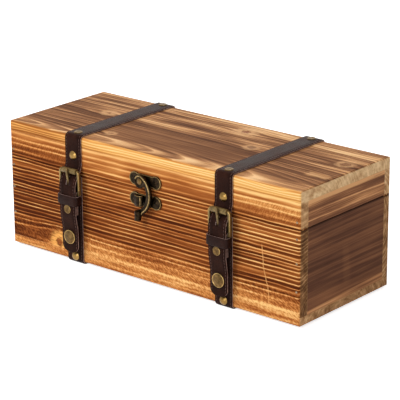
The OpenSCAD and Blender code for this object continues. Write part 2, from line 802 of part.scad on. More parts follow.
module hinge_base_leaf_left() { hinge_leaf(-1, -1, base_knuckles, 0.02); }
module hinge_base_leaf_right() { hinge_leaf(1, -1, base_knuckles, 0.02); }
module hinge_lid_leaf_left() { hinge_leaf(-1, 1, lid_knuckles, run_gap); }
module hinge_lid_leaf_right() { hinge_leaf(1, 1, lid_knuckles, run_gap); }
module hinge_pins() {
    color("gold") for (s = [-1, 1]) at_hinge(s) {
        barrel(-leaf_w / 2, leaf_w / 2, pin_r);
        for (k = [-1, 1]) translate([k * (leaf_w / 2 + 0.3), 0, 0]) rotate([0, 90, 0])
            cylinder(r = pin_r + 0.5, h = 0.6, center = true);
    }
}
module hinge_base_screws() { color("goldenrod") leaf_screw_places(-leaf_screw_dz) pan_screw(leaf_t); }
module hinge_lid_screws() { color("goldenrod") leaf_screw_places(leaf_screw_dz) pan_screw(leaf_t); }

base_bottom();
base_front();
base_back();
base_left_end();
base_right_end();
base_brads();
base_strap_left();
base_strap_right();
base_domed_rivets();
base_flat_rivets();
snap_studs();
catch_plate();
catch_screws();
hinge_base_leaf_left();
hinge_base_leaf_right();
hinge_pins();
hinge_base_screws();
lid_top();
lid_front();
lid_back();
lid_left_end();
lid_right_end();
lid_brads();
lid_strap_left();
lid_strap_right();
lid_domed_rivets();
lid_flat_rivets();
hinge_lid_leaf_left();
hinge_lid_leaf_right();
hinge_lid_screws();
latch_plate();
latch_screws();
latch_pivot();
latch_hook();
tongue_left();
tongue_right();
tab_left();
tab_right();
keeper_left();
keeper_right();
fold_rivet_left();
fold_rivet_right();
snap_cap_left();
snap_cap_right();
snap_socket_left();
snap_socket_right();
buckle_frame_left();
buckle_frame_right();
buckle_roller_left();
buckle_roller_right();
buckle_prong_left();
buckle_prong_right();
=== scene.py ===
"""Looks of the wooden wine box: scorched pine, leather straps, brass buckles and an antique latch."""

import json
import math

import bmesh
import bpy
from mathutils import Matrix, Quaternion, Vector


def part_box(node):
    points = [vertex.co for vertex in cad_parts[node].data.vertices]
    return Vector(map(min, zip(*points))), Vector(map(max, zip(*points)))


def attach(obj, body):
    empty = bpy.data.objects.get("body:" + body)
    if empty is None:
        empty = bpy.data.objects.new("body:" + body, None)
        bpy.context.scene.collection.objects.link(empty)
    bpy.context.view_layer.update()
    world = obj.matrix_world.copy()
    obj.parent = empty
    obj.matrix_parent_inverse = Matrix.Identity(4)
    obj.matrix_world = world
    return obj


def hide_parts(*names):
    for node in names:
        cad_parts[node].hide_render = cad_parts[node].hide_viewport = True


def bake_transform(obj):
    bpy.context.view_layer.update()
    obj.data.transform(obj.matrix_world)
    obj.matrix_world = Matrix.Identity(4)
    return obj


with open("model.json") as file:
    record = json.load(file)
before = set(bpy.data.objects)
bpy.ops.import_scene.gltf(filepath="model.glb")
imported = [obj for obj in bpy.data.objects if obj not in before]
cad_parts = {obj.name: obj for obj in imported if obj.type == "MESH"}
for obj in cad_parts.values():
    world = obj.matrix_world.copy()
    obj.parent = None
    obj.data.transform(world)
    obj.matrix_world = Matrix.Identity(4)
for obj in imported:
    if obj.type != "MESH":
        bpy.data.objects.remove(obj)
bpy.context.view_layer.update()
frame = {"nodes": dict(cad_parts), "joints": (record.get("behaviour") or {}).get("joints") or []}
joints = {joint["name"]: joint for joint in frame["joints"]}

MM = 0.001
SIDES = ("left", "right")
ALONG_X = Vector((1, 0, 0))
ALONG_Y = Vector((0, 1, 0))
ALONG_Z = Vector((0, 0, 1))
OUTWARD = -ALONG_Y

# ---- Sizes from the frame, in millimetres ----


def box_mm(node):
    low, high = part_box(node)
    return low / MM, high / MM


def joint_mm(name):
    return Vector(joints[name]["pos_m"]) / MM


board_low, board_high = box_mm("base_front")
FRONT_Y, BOX_HALF = board_low.y, board_high.x
SIDE_T = board_high.y - board_low.y
BACK_Y = box_mm("base_back")[1].y
WOOD_Z = box_mm("base_bottom")[0].z
TOP_Z = box_mm("lid_top")[1].z
TOP_T = TOP_Z - box_mm("lid_top")[0].z
BOTTOM_T = box_mm("base_bottom")[1].z - WOOD_Z
SEAM_Z = joint_mm("lid_hinge").z
MIDDLE_Y = (FRONT_Y + BACK_Y) / 2

strap_low, strap_high = box_mm("lid_strap_right")
STRAP_X = (strap_low.x + strap_high.x) / 2
STRAP_W = strap_high.x - strap_low.x
STRAP_T = strap_high.z - TOP_Z
FLEX = joint_mm("strap_right_lift")
HEEL = joint_mm("buckle_right_tilt")
ROLLER = joint_mm("roller_right_spin")
roller_low, roller_high = box_mm("buckle_roller_right")
ROLLER_R = (roller_high.y - roller_low.y) / 2
TAB_END = box_mm("tab_right")[0].z
TONGUE_END = box_mm("tongue_right")[0].z
KEEPER_LOW, KEEPER_HIGH = box_mm("keeper_right")

snap_low, snap_high = box_mm("snap_cap_right")
SNAP_Z = (snap_low.z + snap_high.z) / 2
SNAP_R = (snap_high.z - snap_low.z) / 2
fold_low, fold_high = box_mm("fold_rivet_right")
FOLD_Z = (fold_low.z + fold_high.z) / 2
RIVET_R = (fold_high.z - fold_low.z) / 2

# ---- Sizes that the frame doesn't give ----

ARRIS_R = 3.0  # of the box's edges under the straps
LAYER_T = 1.4  # each layer of a tab
BORE_R = 1.58  # inside a tab's fold round the heel bar
KEEPER_T = 1.3
CAP_H = 1.7
PLATE_T = 1.4
HOOK_OUT = 3.3  # from the box to the back of the hook
HOOK_T = 2.4

CREASE_IN = 1.9  # from a strap's edge to its crease and its stitches
SLOT_HALF = 1.5  # half width of the slots that the prong passes through
SLANT_REACH = 8.0  # how far from the end of a slot its inner face is pulled along
STITCH_PITCH = 3.1
STITCH_L = 2.3

# How far in front of the box the middles of the buckle's bars and of the tongue lie
HEEL_OUT = FRONT_Y - HEEL.y
ROLLER_OUT = FRONT_Y - ROLLER.y
LOOP_R = BORE_R + LAYER_T
TONGUE_OUT = HEEL_OUT + LOOP_R + 0.2 + STRAP_T / 2
RIVETED_OUT = TONGUE_OUT - 0.3
SNAP_OUT = FRONT_Y - snap_low.y - CAP_H - STRAP_T / 2
MID_R = ARRIS_R + STRAP_T / 2

# Distances of the straps' ends from the seam: the lid's at the back, the base's in front and at the back
LID_END, BASE_FRONT_END, BASE_BACK_END = 5, 4, 6
END_STEP = 0.3  # a band's first and last steps, where its ends are rounded
STITCH_START = 2.5  # from a strap's end to its first stitch
TIP_CLEAR = 4  # from a tongue's tip to its last stitch
WRAP_STEP, FRONT_STEP, TONGUE_STEP = 3, 2.5, 0.8  # between the rows of points along a strap
PRONG_SLOT = (15.2, 7.8)  # heights of the slot's ends above the heel bar
SLOT_SLANT = 2.6  # how much further down the slot ends on the inner face
# The line between lid and tongue: how far above and below the flex line it reaches, and its lean
BEND_HIGH, BEND_LOW, BEND_LEAN = 3.5, 2.5, 0.6


def srgb(red, green, blue):
    """A colour given in 0 to 255, as the linear values that nodes take."""
    channels = [value / 255 for value in (red, green, blue)]
    linear = [c / 12.92 if c <= 0.04045 else ((c + 0.055) / 1.055) ** 2.4 for c in channels]
    return (*linear, 1.0)


def shades(*stops):
    """Stops of a colour ramp, each given as its place and its red, green and blue."""
    return tuple((place, srgb(*colour)) for place, *colour in stops)


# ---- Materials ----

BUMP_STRENGTH = 0.6
WOOD_GLOSS = 0.04


class Value:
    """A shader node's output, which adds, subtracts and multiplies with numbers and other outputs."""

    def __init__(self, graph, socket):
        self.graph = graph
        self.socket = socket

    def __add__(self, other):
        return self.graph.math("ADD", self, other)

    def __sub__(self, other):
        return self.graph.math("SUBTRACT", self, other)

    def __rsub__(self, other):
        return self.graph.math("SUBTRACT", other, self)

    def __mul__(self, other):
        return self.graph.math("MULTIPLY", self, other)

    def __abs__(self):
        return self.graph.math("ABSOLUTE", self)

    __radd__ = __add__
    __rmul__ = __mul__


class Graph:
    """A material's shader and short names for the nodes that feed it."""

    def __init__(self, name):
        self.material = bpy.data.materials.new(name)
        self.material.use_nodes = True
        self.tree = self.material.node_tree
        self.tree.nodes.clear()
        self.shader = self.node("BsdfPrincipled")
        self.output = self.node("OutputMaterial")
        self.tree.links.new(self.shader.outputs["BSDF"], self.output.inputs["Surface"])

    def feed(self, socket, value):
        if isinstance(value, Value):
            self.tree.links.new(value.socket, socket)
        else:
            socket.default_value = value

    def node(self, kind, *values):
        """A new node with the values on its first inputs."""
        made = self.tree.nodes.new("ShaderNode" + kind)
        for socket, value in zip(made.inputs, values):
            self.feed(socket, value)
        return made

    def math(self, operation, *values):
        node = self.node("Math", *values)
        node.operation = operation
        return Value(self, node.outputs[0])

    def vector(self, *parts):
        return Value(self, self.node("CombineXYZ", *parts).outputs[0])

    def split(self, value):
        return [Value(self, part) for part in self.node("SeparateXYZ", value).outputs]

    def coordinates(self, output):
        return Value(self, self.node("TexCoord").outputs[output])

    def place_mm(self):
        return [part * (1 / MM) for part in self.split(self.coordinates("Object"))]

    def facing(self, axis, low, high):
        """1 where the surface faces along an axis, falling to 0 as it turns away."""
        return self.rescale(abs(self.split(self.coordinates("Normal"))[axis]), low, high)

    def noise(self, *parts, detail=2.0, scale=1.0, roughness=0.5):
        node = self.node("TexNoise", self.vector(*parts))
        node.inputs["Scale"].default_value = scale
        node.inputs["Detail"].default_value = detail
        node.inputs["Roughness"].default_value = roughness
        return Value(self, node.outputs[0])

    def wander(self, amount, *parts, detail=2.0):
        """Noise round 0, times an amount."""
        return (self.noise(*parts, detail=detail) - 0.5) * amount

    def random(self, value):
        node = self.node("TexWhiteNoise")
        node.noise_dimensions = "1D"
        self.feed(node.inputs["W"], value)
        return Value(self, node.outputs["Value"])

    def cell_edges(self, scale, *parts):
        """Distance to the nearest edge between irregular cells."""
        node = self.node("TexVoronoi", self.vector(*parts))
        node.feature = "DISTANCE_TO_EDGE"
        node.inputs["Scale"].default_value = scale
        return Value(self, node.outputs[0])

    def ramp(self, value, stops):
        """stops are (place, colour or number) pairs."""
        node = self.node("ValToRGB", value)
        elements = node.color_ramp.elements
        while len(elements) < len(stops):
            elements.new(0.5)
        for element, (place, colour) in zip(elements, stops):
            element.position = place
            element.color = colour if isinstance(colour, tuple) else (colour, colour, colour, 1)
        return Value(self, node.outputs[0])

    def rescale(self, value, low, high, new_low=0.0, new_high=1.0):
        """new_low below low and new_high above high, with a smooth step between them."""
        node = self.node("MapRange", value, low, high, new_low, new_high)
        node.interpolation_type = "SMOOTHSTEP"
        return Value(self, node.outputs[0])

    def band(self, value, low, high, soft):
        """1 between the two limits, falling to 0 over the soft distance outside them."""
        return self.rescale(value, low - soft, low) * self.rescale(value, high, high + soft, 1.0, 0.0)

    def mix(self, factor, a, b):
        node = self.node("Mix")
        node.data_type = "RGBA"
        for place, value in ((0, factor), (6, a), (7, b)):
            self.feed(node.inputs[place], value)
        return Value(self, node.outputs[2])

    def bump(self, height, depth_mm):
        node = self.node("Bump")
        node.inputs["Strength"].default_value = BUMP_STRENGTH
        node.inputs["Distance"].default_value = depth_mm * MM
        self.feed(node.inputs["Height"], height)
        self.tree.links.new(node.outputs[0], self.shader.inputs["Normal"])

    def finish(self, **inputs):
        for name, value in inputs.items():
            self.feed(self.shader.inputs[name.replace("_", " ")], value)
        return self.material


# The axes along, across and through a board, by the way that its face lies
AXES = {"front": (0, 2, 1), "top": (0, 1, 2), "end": (1, 2, 0)}

SCORCHED = shades(
    (0.0, 72, 32, 14), (0.25, 112, 57, 24), (0.5, 160, 91, 43), (0.75, 214, 144, 78), (1.0, 248, 202, 132),
)
# The top's tones are greyer and paler than the front's: partly the board's own colour, partly painted sheen
# of the light from above
SCORCHED_TOP = shades(
    (0.0, 84, 52, 34), (0.3, 122, 80, 52), (0.55, 158, 108, 68), (0.8, 212, 158, 104), (1.0, 240, 196, 142),
)
SCORCHED_END = shades(
    (0.0, 60, 38, 28), (0.3, 92, 60, 45), (0.6, 138, 92, 64), (0.85, 196, 138, 92), (1.0, 224, 168, 116),
)
PALE_EDGE = shades((0.0, 150, 90, 42), (0.3, 212, 144, 74), (0.6, 240, 186, 108), (1.0, 255, 232, 176))
RAW_PINE = shades((0.0, 168, 116, 68), (0.35, 198, 150, 98), (0.7, 220, 178, 126), (1.0, 234, 200, 152))
END_GRAIN = shades((0.0, 74, 48, 28), (0.35, 134, 94, 60), (0.65, 196, 150, 104), (1.0, 238, 204, 156))

# Tone across one growth ring: a thin raised light line, then a burnt hollow that fades out
RING = (
    (0.0, 0.95), (0.09, 0.85), (0.2, 0.34), (0.36, 0.16), (0.6, 0.26), (0.82, 0.46), (0.94, 0.84),
    (1.0, 0.95),
)
SOFT_RING = ((0.0, 0.85), (0.2, 0.7), (0.5, 0.42), (0.72, 0.2), (0.85, 0.35), (1.0, 0.85))


def knot_flow(g, along, across, knot):
    """Grain lines bend round a knot: across coordinates close up towards its middle line."""
    x, y = knot["at"]
    reach = knot["reach"]
    away = across - y
    square_x = g.math("POWER", (along - x) * (1 / (reach * 2.2)), 2.0)
    square_y = g.math("POWER", away * (1 / reach), 2.0)
    return across - away * g.math("EXPONENT", (square_x + square_y) * -1.0) * 0.85


def knot_spot(g, colour, along, across, knot):
    """The knot itself: a dark heart of fine rings, with a ring of another tone round it."""
    x, y = knot["at"]
    heart, ring = knot["heart"], knot["ring"]
    dx = (along - x) * (1 / knot["stretch"])
    dy = across - y
    wobble = g.wander(ring * 0.9, along * 0.22, across * 0.45, 3.0)
    distance = g.math("SQRT", dx * dx + dy * dy) + wobble
    streaks = g.noise(along * 0.12, across * 0.9, 7.0)
    ring_amount = g.rescale(distance, ring * 0.75, ring * 1.5, knot["strength"], 0.0)
    ring_amount = ring_amount * g.rescale(streaks, 0.3, 0.6, 0.35, 1.1)
    colour = g.mix(ring_amount, colour, knot["ring_colour"])
    heart_amount = g.rescale(distance, heart * 0.7, heart * 1.2, 0.85, 0.0)
    heart_lines = g.rescale(g.math("SINE", distance * 4.2), -1.0, 1.0)
    return g.mix(heart_amount, colour, g.mix(heart_lines, knot["heart_colour"], knot["heart_edge"]))


def ring_lines(g, along, across, depth, pith, spacing, seed, knots, ring=RING, tilt=0.0, warp=1.0,
               drift=0.35, growth_turn=None):
    """Tone round 0 across each growth ring, and how many rings lie inside it.

    pith is where the rings are centred (across, depth), spacing is their width, and tilt is how far the
    pith moves in depth per millimetre along the board. warp bends the lines, drift makes the rings uneven,
    and growth_turn is the radius beyond which they are wider and by how much.
    """
    bent = across + (
        g.wander(8 * warp, along * 0.005, across * 0.018, seed, detail=1.5)
        + g.wander(3.4 * warp, along * 0.022, across * 0.07, seed + 4)
        + g.wander(1.2 * warp, along * 0.09, across * 0.4, seed + 8)
    )
    for knot in knots:
        bent = knot_flow(g, along, bent, knot)
    from_pith = bent - pith[0]
    deep = depth - pith[1] - along * tilt
    radius = g.math("SQRT", from_pith * from_pith + deep * deep)
    if growth_turn:
        turn_radius, share = growth_turn
        radius = radius - g.math("MAXIMUM", radius - turn_radius, 0.0) * share
    count = radius * (1 / spacing) + g.wander(7 * drift, radius * 0.09, seed, 0.0)
    tone = g.ramp(g.math("FRACT", count), ring) - 0.5
    strength = g.rescale(g.noise(along * 0.014, count * 0.9, seed + 20), 0.25, 0.75, 0.4, 1.3)
    return tone * strength, count


def wood(name, face, look, pith, spacing, seed, contrast=1.0, knots=(), inner=None, shade=None, calm=None,
         patches=(), end_tone=0.6, **rings):
    """Scorched and brushed softwood.

    face names the board's lie, and inner is the depth beyond which the wood is bare, with the side on
    which it is. shade adds to the tone, calm scales its contrast, and end_tone is how light the sawn ends
    are. calm and end_tone are numbers or functions. The rest is as ring_lines takes it.
    """
    g = Graph(name)
    place = g.place_mm()
    along, across, depth = (place[axis] for axis in AXES[face])
    tone, count = ring_lines(g, along, across, depth, pith, spacing, seed, knots, **rings)
    tone = tone * contrast
    fibre = g.noise(along * 0.025, across * 1.7, depth * 1.7, detail=3)
    fine = g.noise(along * 0.07, across * 5.0, depth * 5.0)
    mottle = (
        (g.random(g.math("FLOOR", count) + seed) - 0.5) * 0.3 + (fibre - 0.5) * 0.6 + (fine - 0.5) * 0.4
        + g.wander(0.7, along * 0.012, across * 0.3, seed + 16)
    )
    if calm:
        still = calm(g, along, across) if callable(calm) else calm
        tone, mottle = tone * still, mottle * still
    value = tone + 0.5 + mottle + g.wander(0.6, along * 0.009, across * 0.03, seed + 12)
    if shade:
        value = value + shade(g, along, across)
    colour = g.ramp(value, look)
    for knot in knots:
        colour = knot_spot(g, colour, along, across, knot)
    for patch in patches:
        colour = patch(g, colour, along, across, value)

    speckle = g.wander(0.55, *(part * 2.2 for part in place), detail=3)
    cloud = g.wander(0.9, *(part * 0.16 for part in place))
    sawn = tone * 0.34 + speckle + cloud + (end_tone(g, place[2]) if callable(end_tone) else end_tone)
    colour = g.mix(g.facing(AXES[face][0], 0.55, 0.8), colour, g.ramp(sawn, END_GRAIN))
    if inner:
        limit, side = inner
        bare = g.rescale((depth - limit) * side, -0.3, 0.1)
        colour = g.mix(bare, colour, g.ramp((value - 0.5) * 0.6 + 0.6, RAW_PINE))
    g.bump(tone + fibre * 0.5 + fine * 0.35, 0.28)
    rough = g.rescale(value, 0.0, 1.0, 0.78, 0.6)
    return g.finish(Base_Color=colour, Roughness=rough, Specular_IOR_Level=WOOD_GLOSS)


def leather(name, dark, light, grain=1.0, gloss=0.03, polish=0.0):
    """Waxed strap leather between two tones, from each piece's map of millimetres along and across."""
    g = Graph(name)
    u, v, _ = g.split(g.coordinates("UV"))
    spot = (u * (0.9 * grain), v * (0.9 * grain), 0.0)
    cloud = g.noise(u * 0.05, v * 0.08, 2.0, detail=3)
    pores = g.noise(*spot, detail=4, scale=2.2, roughness=0.6)
    wrinkle = g.rescale(g.cell_edges(1.5, *spot), 0.0, 0.22)
    colour = g.mix(g.rescale(cloud * 0.8 + pores * 0.4, 0.5, 0.85), srgb(*dark), srgb(*light))
    colour = g.mix((1.0 - wrinkle) * 0.4, colour, srgb(16, 10, 8))
    g.bump(wrinkle * 0.7 + pores * 0.5, 0.12)
    rough = g.rescale(cloud * 0.5 + pores * 0.5, 0.3, 0.7, 0.42 - polish, 0.56 - polish)
    return g.finish(Base_Color=colour, Roughness=rough, Specular_IOR_Level=gloss)


def worn(name, dark, light, roughness, scale, bump=0.05, metallic=0.0):
    """A worn finish whose tone drifts between two colours."""
    g = Graph(name)
    spot = g.place_mm()
    drift = g.noise(*spot, detail=3, scale=0.22 * scale, roughness=0.55)
    grit = g.noise(*spot, detail=4, scale=1.6 * scale, roughness=0.6)
    amount = g.rescale(drift * 0.75 + grit * 0.35, 0.38, 0.72)
    if bump:
        g.bump(grit + drift * 0.6, bump)
    rough = g.rescale(amount, 0.0, 1.0, *roughness)
    colour = g.mix(amount, srgb(*dark), srgb(*light))
    return g.finish(Base_Color=colour, Roughness=rough, Metallic=metallic)


FRONT_KNOT = {
    "at": (-114.5, WOOD_Z + 14), "reach": 12, "heart": 4.6, "ring": 9.5, "strength": 0.9, "stretch": 1.0,
    "heart_colour": srgb(70, 20, 8), "heart_edge": srgb(150, 62, 26), "ring_colour": srgb(246, 182, 98),
}


def top_knot(x, from_back, heart, ring, heart_colour, strength=0.8, stretch=1.1):
    return {
        "at": (x, BACK_Y - from_back), "reach": ring * 1.5, "heart": heart, "ring": ring,
        "strength": strength, "stretch": stretch, "heart_colour": heart_colour,
        "heart_edge": srgb(150, 104, 70), "ring_colour": srgb(208, 160, 112),
    }


TOP_KNOTS = (
    top_knot(62, 59, 4.4, 6.6, srgb(104, 74, 54)),
    top_knot(160.5, 47, 5.2, 7.6, srgb(108, 66, 42)),
    top_knot(27, 23, 3.6, 8.4, srgb(122, 58, 32), 1.0, 1.4),
    top_knot(-118, 57, 1.9, 7.0, srgb(136, 82, 50), 1.0, 1.2),
    top_knot(-70, 107, 2.0, 4.8, srgb(128, 80, 50), 0.75, 1.3),
)


def clear_patch(g, colour, along, across, value):
    """A pale stretch of clear grain near the right end of the top."""
    middle_x, middle_y = 161, BACK_Y - 88
    ragged = g.noise(along * 0.12, across * 0.6, 9.0) - 0.5
    x_gap = abs(along - middle_x) + ragged * 16
    y_gap = abs(across - middle_y) + ragged * 6
    inside = g.rescale(x_gap, 10, 14, 1.0, 0.0) * g.rescale(y_gap, 4, 7, 1.0, 0.0)
    pale = g.ramp(value, shades((0.2, 176, 124, 80), (0.8, 232, 188, 134)))
    return g.mix(inside * 0.95, colour, pale)


def fleck_field(g, along, across, lean, seed):
    """Short pale and dark dashes where the saw cut along the rays."""
    dashes = g.noise(along * 0.33, (across + along * lean) * 0.62, seed, detail=1.5)
    return g.rescale(dashes, 0.36, 0.64, -1.0, 1.0)


FOOT_CURL = (0.5, 51.0)  # lean and seed of the curly grain low on the front


def front_shade(g, along, across):
    """Burnt darkest at mid height, lighter towards the lid's top, with curly grain low down."""
    lid = g.rescale(across, SEAM_Z - 2, SEAM_Z + 26, 0.0, 0.24)
    low = g.rescale(across, WOOD_Z + 12, WOOD_Z + 34, 0.26, 0.0)
    middle = g.band(across, WOOD_Z + 40, WOOD_Z + 62, 16) * -0.07
    left = g.rescale(along, -178, -60, -0.12, 0.0)
    foot = g.rescale(along, -140, -112, 1.0, 0.0) * g.rescale(across, WOOD_Z + 8, WOOD_Z + 36, -0.5, 0.0)
    right = g.rescale(along, 80, 130) * g.rescale(across, WOOD_Z + 20, WOOD_Z + 50, 0.0, 0.16)
    pale = g.band(along, -76, -34, 16) * g.band(across, SEAM_Z + 3, SEAM_Z + 22, 6) * 0.12
    brown = g.rescale(along, 10, 40) * g.rescale(across, SEAM_Z, SEAM_Z + 8) * -0.07
    curl_low = fleck_field(g, along, across, *FOOT_CURL) * g.band(across, WOOD_Z + 4, WOOD_Z + 27, 7)
    curl_lid = fleck_field(g, along, across, -1.6, 57.0) * g.band(across, SEAM_Z + 5, SEAM_Z + 17, 4)
    curl_lid = curl_lid * g.rescale(abs(along - 12), 70, 130)
    curl = curl_low * 0.13 + curl_lid * 0.09
    return lid + low + middle + left + foot + right + pale + brown + curl - 0.04


def front_calm(g, along, across):
    """The rings lie flatter near the bottom and are less burnt on the lid, so their lines are softer."""
    low = g.rescale(across, WOOD_Z + 14, WOOD_Z + 34, 0.5, 1.0)
    lid = g.rescale(across, SEAM_Z - 4, SEAM_Z + 8, 1.0, 0.6)
    middle = g.rescale(abs(along), 60, 130, 0.86, 1.05)
    return low * lid * middle


def front_drip(g, colour, along, across, value):
    """A thin pale run down the right of the front."""
    foot_x, lean = 146, -0.17
    line = across * lean + foot_x + g.wander(7, across * 0.05, 3.0, 0.0)
    near = g.rescale(abs(along - line), 0.25, 0.8, 1.0, 0.0)
    share = near * g.band(across, WOOD_Z + 12, WOOD_Z + 66, 4) * 0.55
    return g.mix(share, colour, srgb(236, 176, 108))


def top_shade(g, along, across):
    """Broad pale and dark streaks, a golden strip along the front edge and a pale swirl round a knot."""
    swirl_x, swirl_y = 27, BACK_Y - 22
    front_strip = g.rescale(across, FRONT_Y + 12, FRONT_Y + 20, 0.17, 0.0)
    uneven = g.rescale(across, FRONT_Y + 50, FRONT_Y + 80, 0.5, 1.7)
    streaks = g.wander(uneven, along * 0.008, across * 0.085, 63.0)
    back = g.rescale(across, BACK_Y - 45, BACK_Y - 15, 0.0, 0.16)
    middle = g.band(across, FRONT_Y + 22, FRONT_Y + 66, 8) * -0.14
    swirl = abs(along - swirl_x) * (1 / 34) + abs(across - swirl_y) * (1 / 15)
    return front_strip + streaks + back + middle + g.rescale(swirl, 0.3, 1.3, 0.22, 0.0) - 0.06


def top_calm(g, along, across):
    """A clear stretch between the straps, where the grain hardly shows."""
    place = across + g.wander(24, along * 0.02, across * 0.06, 71.0, detail=1)
    clear = g.band(place, FRONT_Y + 26, FRONT_Y + 58, 8) * g.band(along, -60, 64, 26)
    return clear * -0.62 + 1.0


END_TILT = -0.035  # the grain of the end panels isn't quite level


def base_end_shade(g, along, across):
    """Dark and even, with a faint upright figure in the middle and a pale line near the foot."""
    tilted = across + along * END_TILT
    foot = g.band(tilted, WOOD_Z + 12.6, WOOD_Z + 13.6, 1.6) * 0.3
    under = g.rescale(tilted, WOOD_Z + 11, WOOD_Z + 13, 0.14, 0.0)
    figure = g.band(along + across * 0.08, 6, 10, 6)
    figure = figure * g.band(across, WOOD_Z + 30, WOOD_Z + 52, 14) * 0.07
    right = g.rescale(along, 20, 60, 0.0, 0.06)
    low = g.rescale(tilted, WOOD_Z + 16, WOOD_Z + 30, 0.13, 0.0)
    # Painted shade: darker over the top of the base's end, under the seam where the gap to the lid is in
    # shade
    seam = g.rescale(across, SEAM_Z - 2.2, SEAM_Z - 0.6, 0.0, -0.5)
    return foot + under + figure + right + low + seam - 0.11


def lid_end_shade(g, along, across):
    """Lighter than the base, with a few broad bands."""
    tilted = across + along * END_TILT
    low = g.rescale(tilted, SEAM_Z, SEAM_Z + 6, -0.08, 0.0)
    high = g.band(tilted, TOP_Z - TOP_T - 3, TOP_Z, 1.5) * 0.2
    return low + high + 0.18


def sawn_tones(below, above):
    """How light a board's sawn ends are below and above the seam, with painted shade as a dark line where
    they meet.
    """
    def tone(g, height):
        step = g.rescale(height, SEAM_Z - 0.5, SEAM_Z + 0.5, below, above)
        # Painted shade: a dark line along the seam, where the gap between lid and base is in shade
        return step + g.rescale(abs(height - (SEAM_Z - 0.8)), 0.4, 1.8, -0.5, 0.0)
    return tone


def on_board_edge(g):
    """1 where a lying board's long edge shows."""
    return g.facing(1, 0.45, 0.75)


def top_edge(g, colour, along, across, value):
    """The top board's front edge is cut across its rings, so it shows fine pale lines."""
    height = g.place_mm()[2]
    count = height * 0.4 + g.noise(along * 0.009, height * 0.06, 5.0) * 4.0
    lines = g.ramp(g.math("FRACT", count), RING)
    fibre = g.noise(along * 0.02, height * 2.2, 2.0, detail=3)
    lighter = g.rescale(along, -150, -30, -0.3, 0.1)
    under = g.rescale(height, TOP_Z - TOP_T, TOP_Z - TOP_T + 5, -0.3, 0.0)
    over = g.rescale(height, TOP_Z - 2.2, TOP_Z - 1.0, 0.0, -0.3)
    tone = lines * 0.5 + fibre * 0.6 + lighter + under + over
    return g.mix(on_board_edge(g), colour, g.ramp(tone, PALE_EDGE))


def bottom_edge(g, colour, along, across, value):
    """The bottom board's front edge carries on the front's soft pale grain."""
    height = g.place_mm()[2]
    waves = g.wander(1.1, along * 0.02, height * 0.35, 13.0, detail=3)
    tone = waves + fleck_field(g, along, height, *FOOT_CURL) * 0.1 + 0.68
    return g.mix(on_board_edge(g), colour, g.ramp(tone, SCORCHED))


def make_woods():
    """Each board's node and its own wood."""
    front = wood(
        "pine_front", "front", SCORCHED, (WOOD_Z + 6, FRONT_Y + 22), 3.3, seed=1.0, warp=0.5,
        growth_turn=(88.0, 0.36), knots=(FRONT_KNOT,), inner=(FRONT_Y + SIDE_T, 1), shade=front_shade,
        calm=front_calm, patches=(front_drip,), end_tone=sawn_tones(0.29, 0.58),
    )
    back = wood(
        "pine_back", "front", SCORCHED, (WOOD_Z + 70, BACK_Y - 40), 3.8, seed=31.0, warp=0.7,
        inner=(BACK_Y - SIDE_T, -1), end_tone=sawn_tones(0.49, 0.7),
    )
    top = wood(
        "pine_top", "top", SCORCHED_TOP, (FRONT_Y + 9, TOP_Z - 20), 3.9, seed=7.0, ring=SOFT_RING,
        tilt=-0.085, warp=0.9, contrast=0.72, knots=TOP_KNOTS, inner=(TOP_Z - TOP_T, -1),
        shade=top_shade, calm=top_calm, patches=(clear_patch, top_edge), end_tone=0.82,
    )
    bottom = wood(
        "pine_bottom", "top", SCORCHED, (FRONT_Y + 60, WOOD_Z - 30), 4.0, seed=17.0, ring=SOFT_RING,
        contrast=0.6, inner=(WOOD_Z + BOTTOM_T, 1), patches=(bottom_edge,), end_tone=0.53,
    )
    boards = {
        "base_front": front, "lid_front": front, "base_back": back, "lid_back": back, "lid_top": top,
        "base_bottom": bottom,
    }
    for side, way in zip(SIDES, (-1, 1)):
        inner = (way * (BOX_HALF - SIDE_T), -way)
        boards["base_%s_end" % side] = wood(
            "pine_base_end_" + side, "end", SCORCHED_END, (WOOD_Z - 6, way * (BOX_HALF - 60)), 2.9,
            seed=32.0 - 9 * way, warp=0.6, contrast=0.36, inner=inner, shade=base_end_shade, calm=0.5,
            drift=0.6,
        )
        boards["lid_%s_end" % side] = wood(
            "pine_lid_end_" + side, "end", SCORCHED_END, (WOOD_Z + 20, way * (BOX_HALF - 40)), 7.2,
            seed=40.0 - 9 * way, warp=0.5, contrast=0.5, inner=inner, shade=lid_end_shade,
        )
    return boards


LEATHER = leather("strap_leather", (36, 18, 13), (60, 34, 26))
KEEPER_LEATHER = leather("keeper_leather", (36, 18, 14), (58, 33, 26), 0.8, 0.06, 0.12)
# The strap edges' own lighter tone, brightened further as a painted highlight along them
LEATHER_EDGE = worn("leather_edge", (104, 80, 73), (174, 146, 138), (0.45, 0.6), 2.0)
THREAD = worn("strap_thread", (62, 36, 28), (104, 68, 56), (0.6, 0.8), 4.0)
DOME_BRASS = worn("domed_brass", (122, 95, 50), (156, 124, 72), (0.36, 0.3), 0.5, 0.0, 1.0)
FLAT_BRASS = worn("flat_brass", (76, 58, 33), (116, 90, 54), (0.44, 0.34), 1.2, 0.02, 1.0)
AGED_BRASS = worn("aged_brass", (78, 60, 27), (116, 90, 44), (0.66, 0.56), 1.6, 0.03, 0.5)
BUCKLE = worn("buckle_brass", (84, 67, 36), (128, 106, 62), (0.5, 0.4), 1.0, 0.02, 0.62)
ANTIQUE = worn("antique_brass", (20, 15, 11), (54, 42, 28), (0.42, 0.3), 1.3, 0.05, 1.0)
# Lighter brass for the beads along the latch's edges: partly rubbed wear, partly painted highlight
RUBBED_AND_HIGHLIT = worn("rubbed_and_highlit_brass", (94, 76, 46), (162, 136, 90), (0.36, 0.26), 2.0, 0.02, 1.0)
